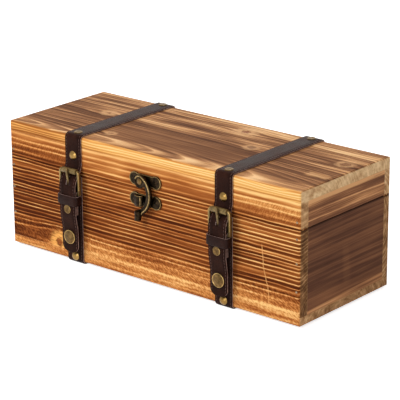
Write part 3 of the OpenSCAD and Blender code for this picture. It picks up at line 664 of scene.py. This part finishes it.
# Lighter brass for the rims of caps and rivets and the buckle frames' edges: a painted highlight
HIGHLIGHT_RIM_BRASS = worn("highlight_rim_brass", (132, 107, 60), (178, 148, 94), (0.3, 0.24), 1.2, 0.0, 1.0)
BRAD = worn("brad_steel", (104, 84, 64), (168, 147, 118), (0.5, 0.36), 3.0, 0.02, 1.0)

# ---- Paths, in millimetres ----


def at(x, out, z):
    """A point that far in front of the box."""
    return Vector((x, FRONT_Y - out, z))


def rows_of(path, step):
    """Even points along a smooth curve through the given ones, about step apart."""
    points = []
    for i in range(len(path) - 1):
        before = path[max(i - 1, 0)]
        after = path[min(i + 2, len(path) - 1)]
        a, b = path[i], path[i + 1]
        count = max(1, round((b - a).length / step))
        for k in range(count):
            t = k / count
            points.append(0.5 * (
                2 * a + (b - before) * t + (2 * before - 5 * a + 4 * b - after) * t * t
                + (3 * a - before - 3 * b + after) * t ** 3
            ))
    points.append(path[-1])
    return points


def arc(centre, radius, start, sweep, count, right=ALONG_X, up=ALONG_Z):
    """Points along part of a circle, in degrees from its right towards its up."""
    angles = [math.radians(start + sweep * k / count) for k in range(count + 1)]
    return [centre + (right * math.cos(a) + up * math.sin(a)) * radius for a in angles]


def joined(runs, steps):
    """One path from runs of points, with straight lines of points that far apart between them."""
    path = list(runs[0])
    for run, step in zip(runs[1:], steps):
        a, b = path[-1], run[0]
        count = max(1, round((b - a).length / step))
        path += [a.lerp(b, k / count) for k in range(1, count)] + run
    return path


def lengths_of(points, closed=False):
    """How far along a path each of its points lies, and a closed path's whole length at the end."""
    total, out = 0.0, [0.0]
    loop = points + points[:1] if closed else points
    for a, b in zip(loop, loop[1:]):
        total += (b - a).length
        out.append(total)
    return out


def neighbours(path, i, closed):
    """The points before and after one on a path. An open path's end is its own neighbour."""
    before = path[i - 1] if closed or i else path[0]
    after = path[(i + 1) % len(path)] if closed or i < len(path) - 1 else path[-1]
    return before, after


def point_at(path, lengths, s):
    """The point that far along a path, and the way the path runs there."""
    last = len(path) - 2
    i = next((i for i in range(last) if s <= lengths[i + 1]), last)
    t = (s - lengths[i]) / max(lengths[i + 1] - lengths[i], 1e-9)
    return path[i].lerp(path[i + 1], t), (path[i + 1] - path[i]).normalized()


def fall_to(path, lengths, height):
    """How far along a path it last comes down to a height."""
    return [s for point, s in zip(path, lengths) if point.z >= height][-1]


# ---- Pieces from meshes ----


def add_object(name, data):
    made = bpy.data.objects.new(name, data)
    bpy.context.scene.collection.objects.link(made)
    return made


def make_piece(name, mesh, materials):
    bmesh.ops.recalc_face_normals(mesh, faces=mesh.faces)
    data = bpy.data.meshes.new(name)
    mesh.to_mesh(data)
    mesh.free()
    for material in materials:
        data.materials.append(material)
    piece = add_object(name, data)
    return piece


def ring_of(mesh, centre, right, up, count):
    """Vertices round a centre, on the ellipse with the half axes right and up."""
    angles = [math.radians(360 * turn / count) for turn in range(count)]
    return [mesh.verts.new((centre + right * math.cos(a) + up * math.sin(a)) * MM) for a in angles]


def skin(mesh, rings, closed=False):
    """Faces from each ring to the next, with flat ends where the rings don't close up."""
    for a, b in zip(rings, rings[1:] + rings[:1] if closed else rings[1:]):
        for turn in range(len(a)):
            mesh.faces.new((a[turn], a[turn - 1], b[turn - 1], b[turn])).smooth = True
    if not closed:
        mesh.faces.new(rings[0])
        mesh.faces.new(reversed(rings[-1]))


def column_places(half, slot_half, creased):
    """Places across a strap, closer at its rounded edges, its creases and its slot."""
    crease = half - CREASE_IN
    right = [crease * 0.15, slot_half or crease * 0.4, crease * 0.7]
    right += [half - 0.75, half - 0.35, half - 0.12, half]
    if creased:
        right += [crease - 0.4, crease - 0.15, crease + 0.15, crease + 0.4]
    right.sort()
    return [-v for v in reversed(right)] + right


# The share of a strap's thickness that is left nearer to a side or an end than each distance
SIDE_ROUND = ((0.05, 0.45), (0.2, 0.72), (0.5, 0.93))
END_ROUND = ((0.1, 0.5), (0.7, 0.85))


def thickness_left(gap, rounding):
    return next((share for limit, share in rounding if gap < limit), 1.0)


def ribbon(name, path, width, thick, across, closed=False, slot=None, half_at=None, crease=0.22, slant=0.0,
           face_leather=LEATHER):
    """A leather band along a path of points, width measured along the across axis.

    slot is (start, end, half width) for a hole, in millimetres along the path, and slant is how much
    further its end lies on the inner face. half_at gives the band's half width at a place along it.
    """
    half = width / 2
    lengths = lengths_of(path, closed)
    total, count = lengths[-1], len(path)
    columns = column_places(half, slot[2] if slot else 0, crease)
    mesh = bmesh.new()
    uv_layer = mesh.loops.layers.uv.new("UVMap")
    outer, inner = [], []
    for i, (point, s) in enumerate(zip(path, lengths)):
        before, after = neighbours(path, i, closed)
        normal = (after - before).normalized().cross(across).normalized()
        shift = slant * max(0.0, 1 - abs(s - slot[1]) / SLANT_REACH) if slant else 0.0
        inner_point = point_at(path, lengths, s + shift)[0]
        end_part = 1.0 if closed else thickness_left(min(s, total - s), END_ROUND)
        row_half = half_at(s) if half_at else half
        outer_row, inner_row = [], []
        for v in columns:
            lift = thick / 2 * min(thickness_left(half - abs(v), SIDE_ROUND), end_part)
            groove = crease if abs(abs(v) - (half - CREASE_IN)) < 0.2 else 0.0
            aside = across * (v * row_half / half)
            outer_row.append(mesh.verts.new((point + aside + normal * (lift - groove)) * MM))
            inner_row.append(mesh.verts.new((inner_point + aside - normal * lift) * MM))
        outer.append(outer_row)
        inner.append(inner_row)

    def open_cell(i, j):
        if not slot:
            return False
        middle_s = (lengths[i] + lengths[i + 1]) / 2
        middle_v = (columns[j] + columns[j + 1]) / 2
        return slot[0] < middle_s < slot[1] and abs(middle_v) < slot[2]

    def face(verts, spots, edge=False):
        made = mesh.faces.new(verts)
        made.smooth = True
        made.material_index = int(edge)
        for loop, spot in zip(made.loops, spots):
            loop[uv_layer].uv = spot

    spans = count if closed else count - 1
    cells = {(i, j) for i in range(spans) for j in range(len(columns) - 1) if not open_cell(i, j)}
    for i, j in sorted(cells):
        k = (i + 1) % count
        ring = ((i, j), (k, j), (k, j + 1), (i, j + 1))
        spots = [(total if k == 0 and a == 0 else lengths[a], columns[b]) for a, b in ring]
        face([outer[a][b] for a, b in ring], spots)
        face([inner[a][b] for a, b in reversed(ring)], spots[::-1])
        last = (i - 1) % count if closed else i - 1
        walls = (
            ((i, j - 1), (i, j), (k, j)), ((i, j + 1), (k, j + 1), (i, j + 1)),
            ((last, j), (i, j + 1), (i, j)), ((k, j), (k, j), (k, j + 1)),
        )
        for neighbour, (a, b), (c, d) in walls:
            if neighbour not in cells:
                quad = [inner[a][b], inner[c][d], outer[c][d], outer[a][b]]
                face(quad, [(lengths[a], columns[b]), (lengths[c], columns[d])] * 2, edge=True)
    return make_piece(name, mesh, (face_leather, LEATHER_EDGE))


# Places along one stitch, in its own length, and its thickness there
STITCH_SHAPE = ((-0.5, 0.35), (-0.3, 0.9), (0.3, 0.9), (0.5, 0.35))
STITCH_WIDE, STITCH_HIGH, STITCH_SINK = 0.3, 0.24, 0.12


def stitches(name, path, across, start, end, half_at, skip=lambda s: False):
    """Thread along both edges of a strap, one low rounded stitch after another."""
    lengths = lengths_of(path)
    mesh = bmesh.new()
    for side in (-1, 1):
        for k in range(int((end - start) / STITCH_PITCH)):
            s = start + (k + 0.5) * STITCH_PITCH
            if skip(s):
                continue
            point, tangent = point_at(path, lengths, s)
            normal = tangent.cross(across).normalized()
            middle = point + across * side * (half_at(s) - CREASE_IN) + normal * (STRAP_T / 2 - STITCH_SINK)
            wide, high = across * STITCH_WIDE, normal * STITCH_HIGH
            skin(mesh, [
                ring_of(mesh, middle + tangent * share * STITCH_L, wide * size, high * size, 6)
                for share, size in STITCH_SHAPE
            ])
    return make_piece(name, mesh, (THREAD,))


# ---- Straps, tabs and keepers ----


def tongue_route(x):
    """From the flex line behind the roller, over the heel bar's loop and through the keeper to the tip."""
    flex_out = FRONT_Y - FLEX.y
    bend_high, bend_low = FOLD_Z - RIVET_R - 1.6, SNAP_Z + SNAP_R + 1.2
    route = [
        (flex_out, FLEX.z),
        (flex_out + 0.9, FLEX.z - 2.5),
        (ROLLER_OUT - ROLLER_R - 0.4 - STRAP_T / 2, ROLLER.z + 0.3),
        (ROLLER_OUT - 3.6, ROLLER.z - 1.6),
        (ROLLER_OUT - 1.6, ROLLER.z - 4.4),
        (TONGUE_OUT - 2.5, HEEL.z + 14),
        (TONGUE_OUT - 0.9, HEEL.z + 10.6),
        (TONGUE_OUT - 0.1, HEEL.z + 6.3),
        (TONGUE_OUT, HEEL.z),
        (RIVETED_OUT, FOLD_Z + RIVET_R + 1.5),
        (RIVETED_OUT, FOLD_Z),
        (RIVETED_OUT, bend_high + 1.0),
        (RIVETED_OUT - 0.35, bend_high - 2.0),
        (SNAP_OUT + 0.35, bend_low + 2.0),
        (SNAP_OUT, bend_low - 1.0),
        (SNAP_OUT, SNAP_Z),
        (SNAP_OUT, TONGUE_END + END_STEP),
        (SNAP_OUT, TONGUE_END),
    ]
    return [at(x, out, z) for out, z in route]


def strap_corner(x, y, z, start):
    """A strap's quarter turn round (y, z), in degrees from +Y towards +Z."""
    return arc(Vector((x, y, z)), MID_R, start, 90, 6, right=ALONG_Y)


def lid_strap_path(x):
    """Up the back of the lid, over the top, down the front and on into the tongue."""
    half_t = STRAP_T / 2
    back_end = Vector((x, BACK_Y + half_t, SEAM_Z + LID_END))
    over_back = strap_corner(x, BACK_Y - ARRIS_R, TOP_Z - ARRIS_R, 0)
    over_front = strap_corner(x, FRONT_Y + ARRIS_R, TOP_Z - ARRIS_R, 90)
    tongue = rows_of([at(x, half_t + 0.05, FLEX.z + 3), *tongue_route(x)], TONGUE_STEP)
    runs = ([back_end, back_end + ALONG_Z * END_STEP], over_back, over_front, tongue)
    return joined(runs, (WRAP_STEP, WRAP_STEP, FRONT_STEP))


# Half width of the tongue's rounded tip by the distance from its end
TONGUE_TIP = ((0.0, 3.4), (0.7, 5.4), (1.6, 7.0), (2.7, 8.2), (3.9, 9.1), (5.2, 9.7), (6.6, 10.0))


def tip_width(gap):
    for (near, low), (far, high) in zip(TONGUE_TIP, TONGUE_TIP[1:]):
        if gap < far:
            return low + (high - low) * max(0.0, gap - near) / (far - near)
    return TONGUE_TIP[-1][1]


def make_lid_strap(side, x):
    """The lid's strap with the tongue that hangs from it, in one piece of leather."""
    path = lid_strap_path(x)
    lengths = lengths_of(path)
    total = lengths[-1]
    slot = [fall_to(path, lengths, HEEL.z + height) for height in PRONG_SLOT]

    def half_at(s):
        return tip_width(total - s)

    strap = ribbon(
        "lid_strap_leather_" + side, path, STRAP_W, STRAP_T, ALONG_X, slot=(*slot, SLOT_HALF),
        half_at=half_at, slant=SLOT_SLANT,
    )
    thread = stitches("lid_strap_thread_" + side, path, ALONG_X, STITCH_START, total - TIP_CLEAR, half_at)
    # The line leans outwards, so the strap's end low on the lid's back lies before its start
    start = (x * MM, FLEX.y * MM, (FLEX.z + BEND_HIGH) * MM)
    end = (x * MM, (FLEX.y - BEND_LEAN) * MM, (FLEX.z - BEND_LOW) * MM)
    for piece in (strap, thread):
        "strap_" + side
        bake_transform(piece)
    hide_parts("lid_strap_" + side, "tongue_" + side)


def make_base_strap(side, x):
    """Down the back, under the box and up the front to just under the seam."""
    half_t = STRAP_T / 2
    step = ALONG_Z * END_STEP
    front_top = at(x, half_t, SEAM_Z - BASE_FRONT_END)
    back_top = Vector((x, BACK_Y + half_t, SEAM_Z - BASE_BACK_END))
    under_front = strap_corner(x, FRONT_Y + ARRIS_R, WOOD_Z + ARRIS_R, 180)
    under_back = strap_corner(x, BACK_Y - ARRIS_R, WOOD_Z + ARRIS_R, 270)
    runs = ([front_top, front_top - step], under_front, under_back, [back_top - step, back_top])
    path = joined(runs, (WRAP_STEP,) * 3)[::-1]
    total = lengths_of(path)[-1]
    upright = SEAM_Z - WOOD_Z
    strap = ribbon("base_strap_leather_" + side, path, STRAP_W, STRAP_T, -ALONG_X)
    thread = stitches(
        "base_strap_thread_" + side, path, -ALONG_X, STITCH_START, total - STITCH_START,
        lambda s: STRAP_W / 2, skip=lambda s: upright < s < total - upright,
    )
    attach(strap, "base")
    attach(thread, "base")
    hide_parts("base_strap_" + side)


def make_tab(side, x):
    """A short strip folded round the heel bar, its two layers riveted behind the tongue."""
    parting, behind_tongue = 0.02, 0.03  # from the line between the two layers to each, and to the tongue
    top_z = HEEL.z - 9
    middle_out = RIVETED_OUT - STRAP_T / 2 - behind_tongue - LAYER_T
    loop_mid = BORE_R + LAYER_T / 2

    def layer(way):
        out = middle_out + way * (LAYER_T / 2 + parting)
        beside_bar = HEEL_OUT + way * (loop_mid - 0.12)
        return rows_of([
            at(x, out, TAB_END), at(x, out, TAB_END + END_STEP), at(x, out, FOLD_Z), at(x, out, top_z - 1.5),
            at(x, out + (beside_bar - out) * 0.2, top_z + 1.5), at(x, beside_bar, HEEL.z - 1.2),
        ], 1.2)

    loop = arc(at(x, HEEL_OUT, HEEL.z), loop_mid, 180, -180, 12, right=OUTWARD)
    path = layer(-1) + loop + layer(1)[::-1]
    middle = lengths_of(path)[-1] / 2
    reach = loop_mid * math.pi / 2 + LOOP_R - 0.4
    tab = ribbon(
        "tab_leather_" + side, path, STRAP_W - 0.3, LAYER_T, ALONG_X, crease=0.0,
        slot=(middle - reach, middle + reach, SLOT_HALF),
    )
    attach(tab, "strap_" + side)
    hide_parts("tab_" + side)


def make_keeper(side, x):
    """A closed loop round the tab and the tongue, its front bowed out and crowned."""
    bow_out, crown, radius = 0.3, 0.4, 2.6
    half_t = KEEPER_T / 2
    side_x = (KEEPER_HIGH.x - KEEPER_LOW.x) / 2 - half_t - radius
    back_out = FRONT_Y - KEEPER_HIGH.y + half_t
    front_out = FRONT_Y - KEEPER_LOW.y - half_t
    middle_z = (KEEPER_LOW.z + KEEPER_HIGH.z) / 2
    half_z = (KEEPER_HIGH.z - KEEPER_LOW.z) / 2

    def corner(across, out, start):
        return arc(at(x + across, out, middle_z), radius, start, 90, 6, up=OUTWARD)

    bow = [
        at(x + side_x - side_x * k / 6, front_out - bow_out + bow_out * math.sin(math.pi * k / 12), middle_z)
        for k in range(1, 12)
    ]
    back = [at(x - side_x + side_x * k / 4, back_out, middle_z) for k in range(1, 8)]
    low_out, high_out = back_out + radius, front_out - bow_out - radius
    outline = (
        corner(side_x, low_out, 270) + corner(side_x, high_out, 0) + bow
        + corner(-side_x, high_out, 90) + corner(-side_x, low_out, 180) + back
    )
    keeper = ribbon(
        "keeper_leather_" + side, outline, 2 * half_z, KEEPER_T, ALONG_Z, closed=True, crease=0.15,
        face_leather=KEEPER_LEATHER,
    )
    for point in keeper.data.vertices:
        if point.co.y / MM < FRONT_Y - front_out:
            height = point.co.z / MM - middle_z
            point.co.y -= crown * (1 - (height / half_z) ** 2) * MM
    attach(keeper, "strap_" + side)
    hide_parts("keeper_" + side)


# ---- Edges of the metal parts, in lighter brass: rubbed wear and painted highlights ----


def wire(name, body, path, radius, facing, material, closed=False):
    """A round bead along a path of points that lies in the plane with the given normal."""
    mesh = bmesh.new()
    rings = []
    for i, point in enumerate(path):
        before, after = neighbours(path, i, closed)
        aside = (after - before).normalized().cross(facing)
        size = radius if closed or 0 < i < len(path) - 1 else radius / 2
        rings.append(ring_of(mesh, point, aside * size, facing * size, 8))
    skin(mesh, rings, closed)
    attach(make_piece(name, mesh, (material,)), body)


def plate_rims():
    """The raised rims of the latch plate and the catch plate, round their ends and along the waist, in
    lighter brass: partly rubbed wear, partly painted highlight.
    """
    inset, bead, sweep, steps = 0.55, 0.42, 123, 27
    for node, body in (("latch_plate", "lid"), ("catch_plate", "base")):
        low, high = box_mm(node)
        x, z = (low.x + high.x) / 2, (low.z + high.z) / 2
        end_r = (high.z - low.z) / 2
        centre_gap = (high.x - low.x) / 2 - end_r
        right = arc(at(x + centre_gap, PLATE_T, z), end_r - inset, -sweep, 2 * sweep, steps)
        left = arc(at(x - centre_gap, PLATE_T, z), end_r - inset, 180 - sweep, 2 * sweep, steps)
        wire(node + "_rim", body, right + left, bead, OUTWARD, RUBBED_AND_HIGHLIT, closed=True)


def hook_ridge():
    """The ridge from round the hook's pivot along its arm to the scroll, in lighter brass: partly rubbed
    wear, partly a painted highlight.
    """
    pivot = joint_mm("hook_swing")
    out = HOOK_OUT + HOOK_T - 0.1
    eye_r, bead = 5.2, 0.75
    arm_x, arm_z, arm_r = pivot.x - 8.3, pivot.z - 12.7, 20.3
    path = arc(at(pivot.x, out, pivot.z), eye_r, 165, -89, 8)
    path += arc(at(arm_x, out, arm_z), arm_r, 54, -110, 18)
    path += [at(pivot.x + 1.6, out, pivot.z - 31.2), at(pivot.x + 0.4, out - 0.2, pivot.z - 32.6)]
    wire("latch_hook_ridge", "hook", path, bead, OUTWARD, RUBBED_AND_HIGHLIT)


def claw_edges():
    """The edges and lip of the claw that the hook reaches under, in lighter brass: partly rubbed wear,
    partly painted highlights.
    """
    low, high = box_mm("catch_plate")
    x, z = (low.x + high.x) / 2, (low.z + high.z) / 2
    half_h, bead, lip_bead = 4.6, 0.55, 0.6
    outline = [(-9.9, 3.4), (-8.8, 5.8), (-5.7, 6.8), (-2.8, 6.3), (-1.3, 4.6), (-2.1, 3.3)]
    for label, edge in (("upper", half_h), ("lower", -half_h)):
        path = rows_of([at(x + dx, out, z + edge) for dx, out in outline], 0.8)
        wire("claw_edge_" + label, "base", path, bead, ALONG_Z, RUBBED_AND_HIGHLIT)
    lip = rows_of([at(x - 2.6, 6.2, z + 4.4), at(x - 2.2, 6.1, z), at(x - 2.6, 6.2, z - 4.4)], 0.8)
    wire("claw_edge_lip", "base", lip, lip_bead, ALONG_X, RUBBED_AND_HIGHLIT)


def cap_rims(side, x):
    """The rolled rims of the snap cap and of the rivet through the tongue, in brighter brass as a painted
    highlight.
    """
    for name, z, radius, out, bead in (
        ("snap_cap_rim_", SNAP_Z, SNAP_R - 0.5, SNAP_OUT + STRAP_T / 2 + 0.66, 0.5),
        ("fold_rivet_rim_", FOLD_Z, RIVET_R - 0.36, RIVETED_OUT + STRAP_T / 2 + 0.3, 0.36),
    ):
        ring = arc(at(x, out, z), radius, 0, 350, 35)
        wire(name + side, "strap_" + side, ring, bead, OUTWARD, HIGHLIGHT_RIM_BRASS, closed=True)


def frame_edges(side, x):
    """Beads of brighter brass along the outer edges of the buckle frame's side bars, up round the corners: a
    painted highlight.
    """
    low, high = box_mm("buckle_frame_" + side)
    half = (high.x - low.x) / 2
    half_bar, corner_r, inset, bead = 1.4, 3.6, 0.4, 0.55
    lean = (ROLLER_OUT - HEEL_OUT) / (ROLLER.z - HEEL.z)
    turn_r = corner_r - inset

    def spot(across, z):
        return at(x + across, HEEL_OUT + half_bar - inset + (z - HEEL.z) * lean, z)

    for label, way in zip(SIDES, (-1, 1)):
        edge = [spot(way * (half - inset), HEEL.z + rise) for rise in (-0.6, 5, 11)]
        for angle in range(0, 91, 15):
            right, up = math.cos(math.radians(angle)), math.sin(math.radians(angle))
            edge.append(spot(way * (half - corner_r + turn_r * right), high.z - corner_r + turn_r * up))
        name = "buckle_edge_%s_%s" % (side, label)
        wire(name, "buckle_" + side, edge, bead, OUTWARD, HIGHLIGHT_RIM_BRASS)


# ---- Finishes of the carried-over parts ----


def smooth_by_angle(degrees):
    """Node group that shades faces smoothly and keeps the edges above that angle sharp."""
    group = bpy.data.node_groups.new("smooth_by_angle", "GeometryNodeTree")
    for way in ("INPUT", "OUTPUT"):
        group.interface.new_socket(name="Geometry", in_out=way, socket_type="NodeSocketGeometry")
    entry, leave, angle, small, plain, edges, faces = (group.nodes.new(kind) for kind in (
        "NodeGroupInput", "NodeGroupOutput", "GeometryNodeInputMeshEdgeAngle", "FunctionNodeCompare",
        "GeometryNodeRemoveAttribute", "GeometryNodeSetShadeSmooth", "GeometryNodeSetShadeSmooth",
    ))
    small.operation = "LESS_THAN"
    small.inputs[1].default_value = math.radians(degrees)
    plain.inputs["Name"].default_value = "custom_normal"
    edges.domain = "EDGE"
    for source, target in (
        (angle.outputs[0], small.inputs[0]), (small.outputs[0], edges.inputs["Shade Smooth"]),
        (entry.outputs[0], plain.inputs["Geometry"]), (plain.outputs[0], edges.inputs["Geometry"]),
        (edges.outputs[0], faces.inputs["Geometry"]), (faces.outputs[0], leave.inputs[0]),
    ):
        group.links.new(source, target)
    return group


SMOOTH = smooth_by_angle(32)
WELD_MM = 0.004
BEVEL_ABOVE = math.radians(38)


def dress(nodes, material, bevel=0.0, segments=2, smooth=True):
    """Give CAD nodes a material, and rounded edges with smooth faces between them."""
    for node in nodes:
        piece = frame["nodes"][node]
        piece.data.materials.clear()
        piece.data.materials.append(material)
        if not smooth:
            continue
        piece.modifiers.new("weld", "WELD").merge_threshold = WELD_MM * MM
        if bevel:
            edge = piece.modifiers.new("bevel", "BEVEL")
            edge.width = bevel * MM
            edge.segments = segments
            edge.limit_method = "ANGLE"
            edge.angle_limit = BEVEL_ABOVE
            edge.harden_normals = False
        piece.modifiers.new("smooth", "NODES").node_group = SMOOTH


def both(*stems):
    return ["%s_%s" % (stem, side) for stem in stems for side in SIDES]


def dress_all():
    for node, material in make_woods().items():
        dress([node], material, smooth=False)
    dress(["base_brads", "lid_brads"], BRAD)
    dress(["base_domed_rivets", "lid_domed_rivets"], DOME_BRASS)
    dress(["base_flat_rivets", "lid_flat_rivets", "snap_studs"], AGED_BRASS)
    dress(["hinge_base_screws", "hinge_lid_screws", "hinge_pins"], BUCKLE)
    dress(both("hinge_base_leaf", "hinge_lid_leaf"), BUCKLE, 0.2)
    dress(["latch_plate", "catch_plate"], ANTIQUE, 0.3)
    dress(["latch_hook"], ANTIQUE, 1.0, 3)
    dress(["latch_screws", "catch_screws"], ANTIQUE)
    dress(["latch_pivot"], FLAT_BRASS)
    dress(both("fold_rivet", "snap_cap", "snap_socket"), FLAT_BRASS)
    dress(both("buckle_frame"), BUCKLE, 1.05, 4)
    dress(both("buckle_roller"), BUCKLE, 0.3)
    dress(both("buckle_prong"), BUCKLE, 0.7, 3)


# ---- Stage ----

CAMERA_AZIMUTH = 40.099
CAMERA_ELEVATION = 18.594
CAMERA_ROLL = -0.313
CAMERA_DISTANCE = 1854.1
CAMERA_LENS = 175.97
TARGET = Vector((6.766, MIDDLE_Y, WOOD_Z + 65.135))
LAMP_TARGET = Vector((0, 0, 0.06))
WORLD_LIGHT, WORLD_SEEN = 0.3, 1.05
FLOOR_COLOUR, FLOOR_GLOW = (0.9, 0.9, 0.9, 1), 0.72


def direction(azimuth, elevation):
    a, e = math.radians(azimuth), math.radians(elevation)
    return Vector((math.sin(a) * math.cos(e), -math.cos(a) * math.cos(e), math.sin(e)))


def make_camera():
    data = bpy.data.cameras.new("camera")
    data.sensor_width = 36
    data.lens = CAMERA_LENS
    data.clip_start, data.clip_end = 0.05, 20
    camera = add_object("camera", data)
    back = direction(CAMERA_AZIMUTH, CAMERA_ELEVATION)
    camera.location = (TARGET + back * CAMERA_DISTANCE) * MM
    camera.rotation_mode = "QUATERNION"
    level = (-back).to_track_quat("-Z", "Y")
    camera.rotation_quaternion = level @ Quaternion((0, 0, 1), math.radians(CAMERA_ROLL))
    bpy.context.scene.camera = camera


def make_lamp(name, azimuth, elevation, distance, size, power, colour=(1, 1, 1), diffuse=True, glossy=True):
    data = bpy.data.lights.new(name, "AREA")
    data.shape = "ELLIPSE"
    data.size, data.size_y = size
    data.energy = power
    data.color = colour
    lamp = add_object(name, data)
    lamp.visible_diffuse = diffuse
    lamp.visible_glossy = glossy
    away = direction(azimuth, elevation)
    lamp.location = LAMP_TARGET + away * distance
    lamp.rotation_mode = "QUATERNION"
    lamp.rotation_quaternion = (-away).to_track_quat("-Z", "Y")


def seen_as_white(tree, plain, bright):
    """A plain strength for the light itself and a bright one for what the camera or a shiny surface sees."""
    path = tree.nodes.new("ShaderNodeLightPath")
    mix = tree.nodes.new("ShaderNodeMapRange")
    seen = path.outputs["Is Camera Ray"]
    for ray in ("Is Glossy Ray", "Is Transmission Ray"):
        either = tree.nodes.new("ShaderNodeMath")
        either.operation = "MAXIMUM"
        tree.links.new(seen, either.inputs[0])
        tree.links.new(path.outputs[ray], either.inputs[1])
        seen = either.outputs[0]
    tree.links.new(seen, mix.inputs[0])
    mix.inputs[3].default_value = plain
    mix.inputs[4].default_value = bright
    return mix.outputs[0]


def make_world():
    world = bpy.data.worlds.new("studio")
    bpy.context.scene.world = world
    world.use_nodes = True
    tree = world.node_tree
    background = tree.nodes["Background"]
    background.inputs["Color"].default_value = (1, 1, 1, 1)
    tree.links.new(seen_as_white(tree, WORLD_LIGHT, WORLD_SEEN), background.inputs["Strength"])


def make_floor():
    reach = 4.0
    data = bpy.data.meshes.new("floor")
    corners = [(-reach, -reach, 0), (reach, -reach, 0), (reach, reach, 0), (-reach, reach, 0)]
    data.from_pydata(corners, [], [(0, 1, 2, 3)])
    g = Graph("floor_paper")
    g.finish(Base_Color=FLOOR_COLOUR, Roughness=0.9, Specular_IOR_Level=0.1)
    paper_and_glow = g.node("AddShader")
    glow = g.node("Emission", (1, 1, 1, 1), Value(g, seen_as_white(g.tree, 0.0, FLOOR_GLOW)))
    for shader, socket in zip((g.shader, glow), paper_and_glow.inputs):
        g.tree.links.new(shader.outputs[0], socket)
    g.tree.links.new(paper_and_glow.outputs[0], g.output.inputs["Surface"])
    data.materials.append(g.material)
    add_object("floor", data)


make_camera()
make_world()
make_floor()
make_lamp("key", -28, 38, 2.2, (1.1, 1.1), 33, (1.0, 0.97, 0.92), glossy=False)
make_lamp("right", 76, 30, 2.6, (1.6, 1.6), 10, (1.0, 0.97, 0.94), glossy=False)
make_lamp("top", 10, 85, 2.4, (1.8, 1.8), 14, glossy=False)
make_lamp("front_box", 34, 20, 2.4, (1.5, 1.7), 30, diffuse=False)
make_lamp("rim", 74, 46, 2.2, (0.6, 0.9), 9, diffuse=False)
make_lamp("sheen", 218, 24, 2.6, (2.4, 1.4), 24, (1.0, 0.9, 0.82), diffuse=False)
bpy.context.scene.view_settings.view_transform = "Standard"

dress_all()
strap_sides = tuple(zip(SIDES, (-STRAP_X, STRAP_X)))
for side_name, strap_x in strap_sides:
    for make in (make_lid_strap, make_base_strap, make_tab, make_keeper, frame_edges):
        make(side_name, strap_x)
plate_rims()
hook_ridge()
claw_edges()
for side_name, strap_x in strap_sides:
    cap_rims(side_name, strap_x)
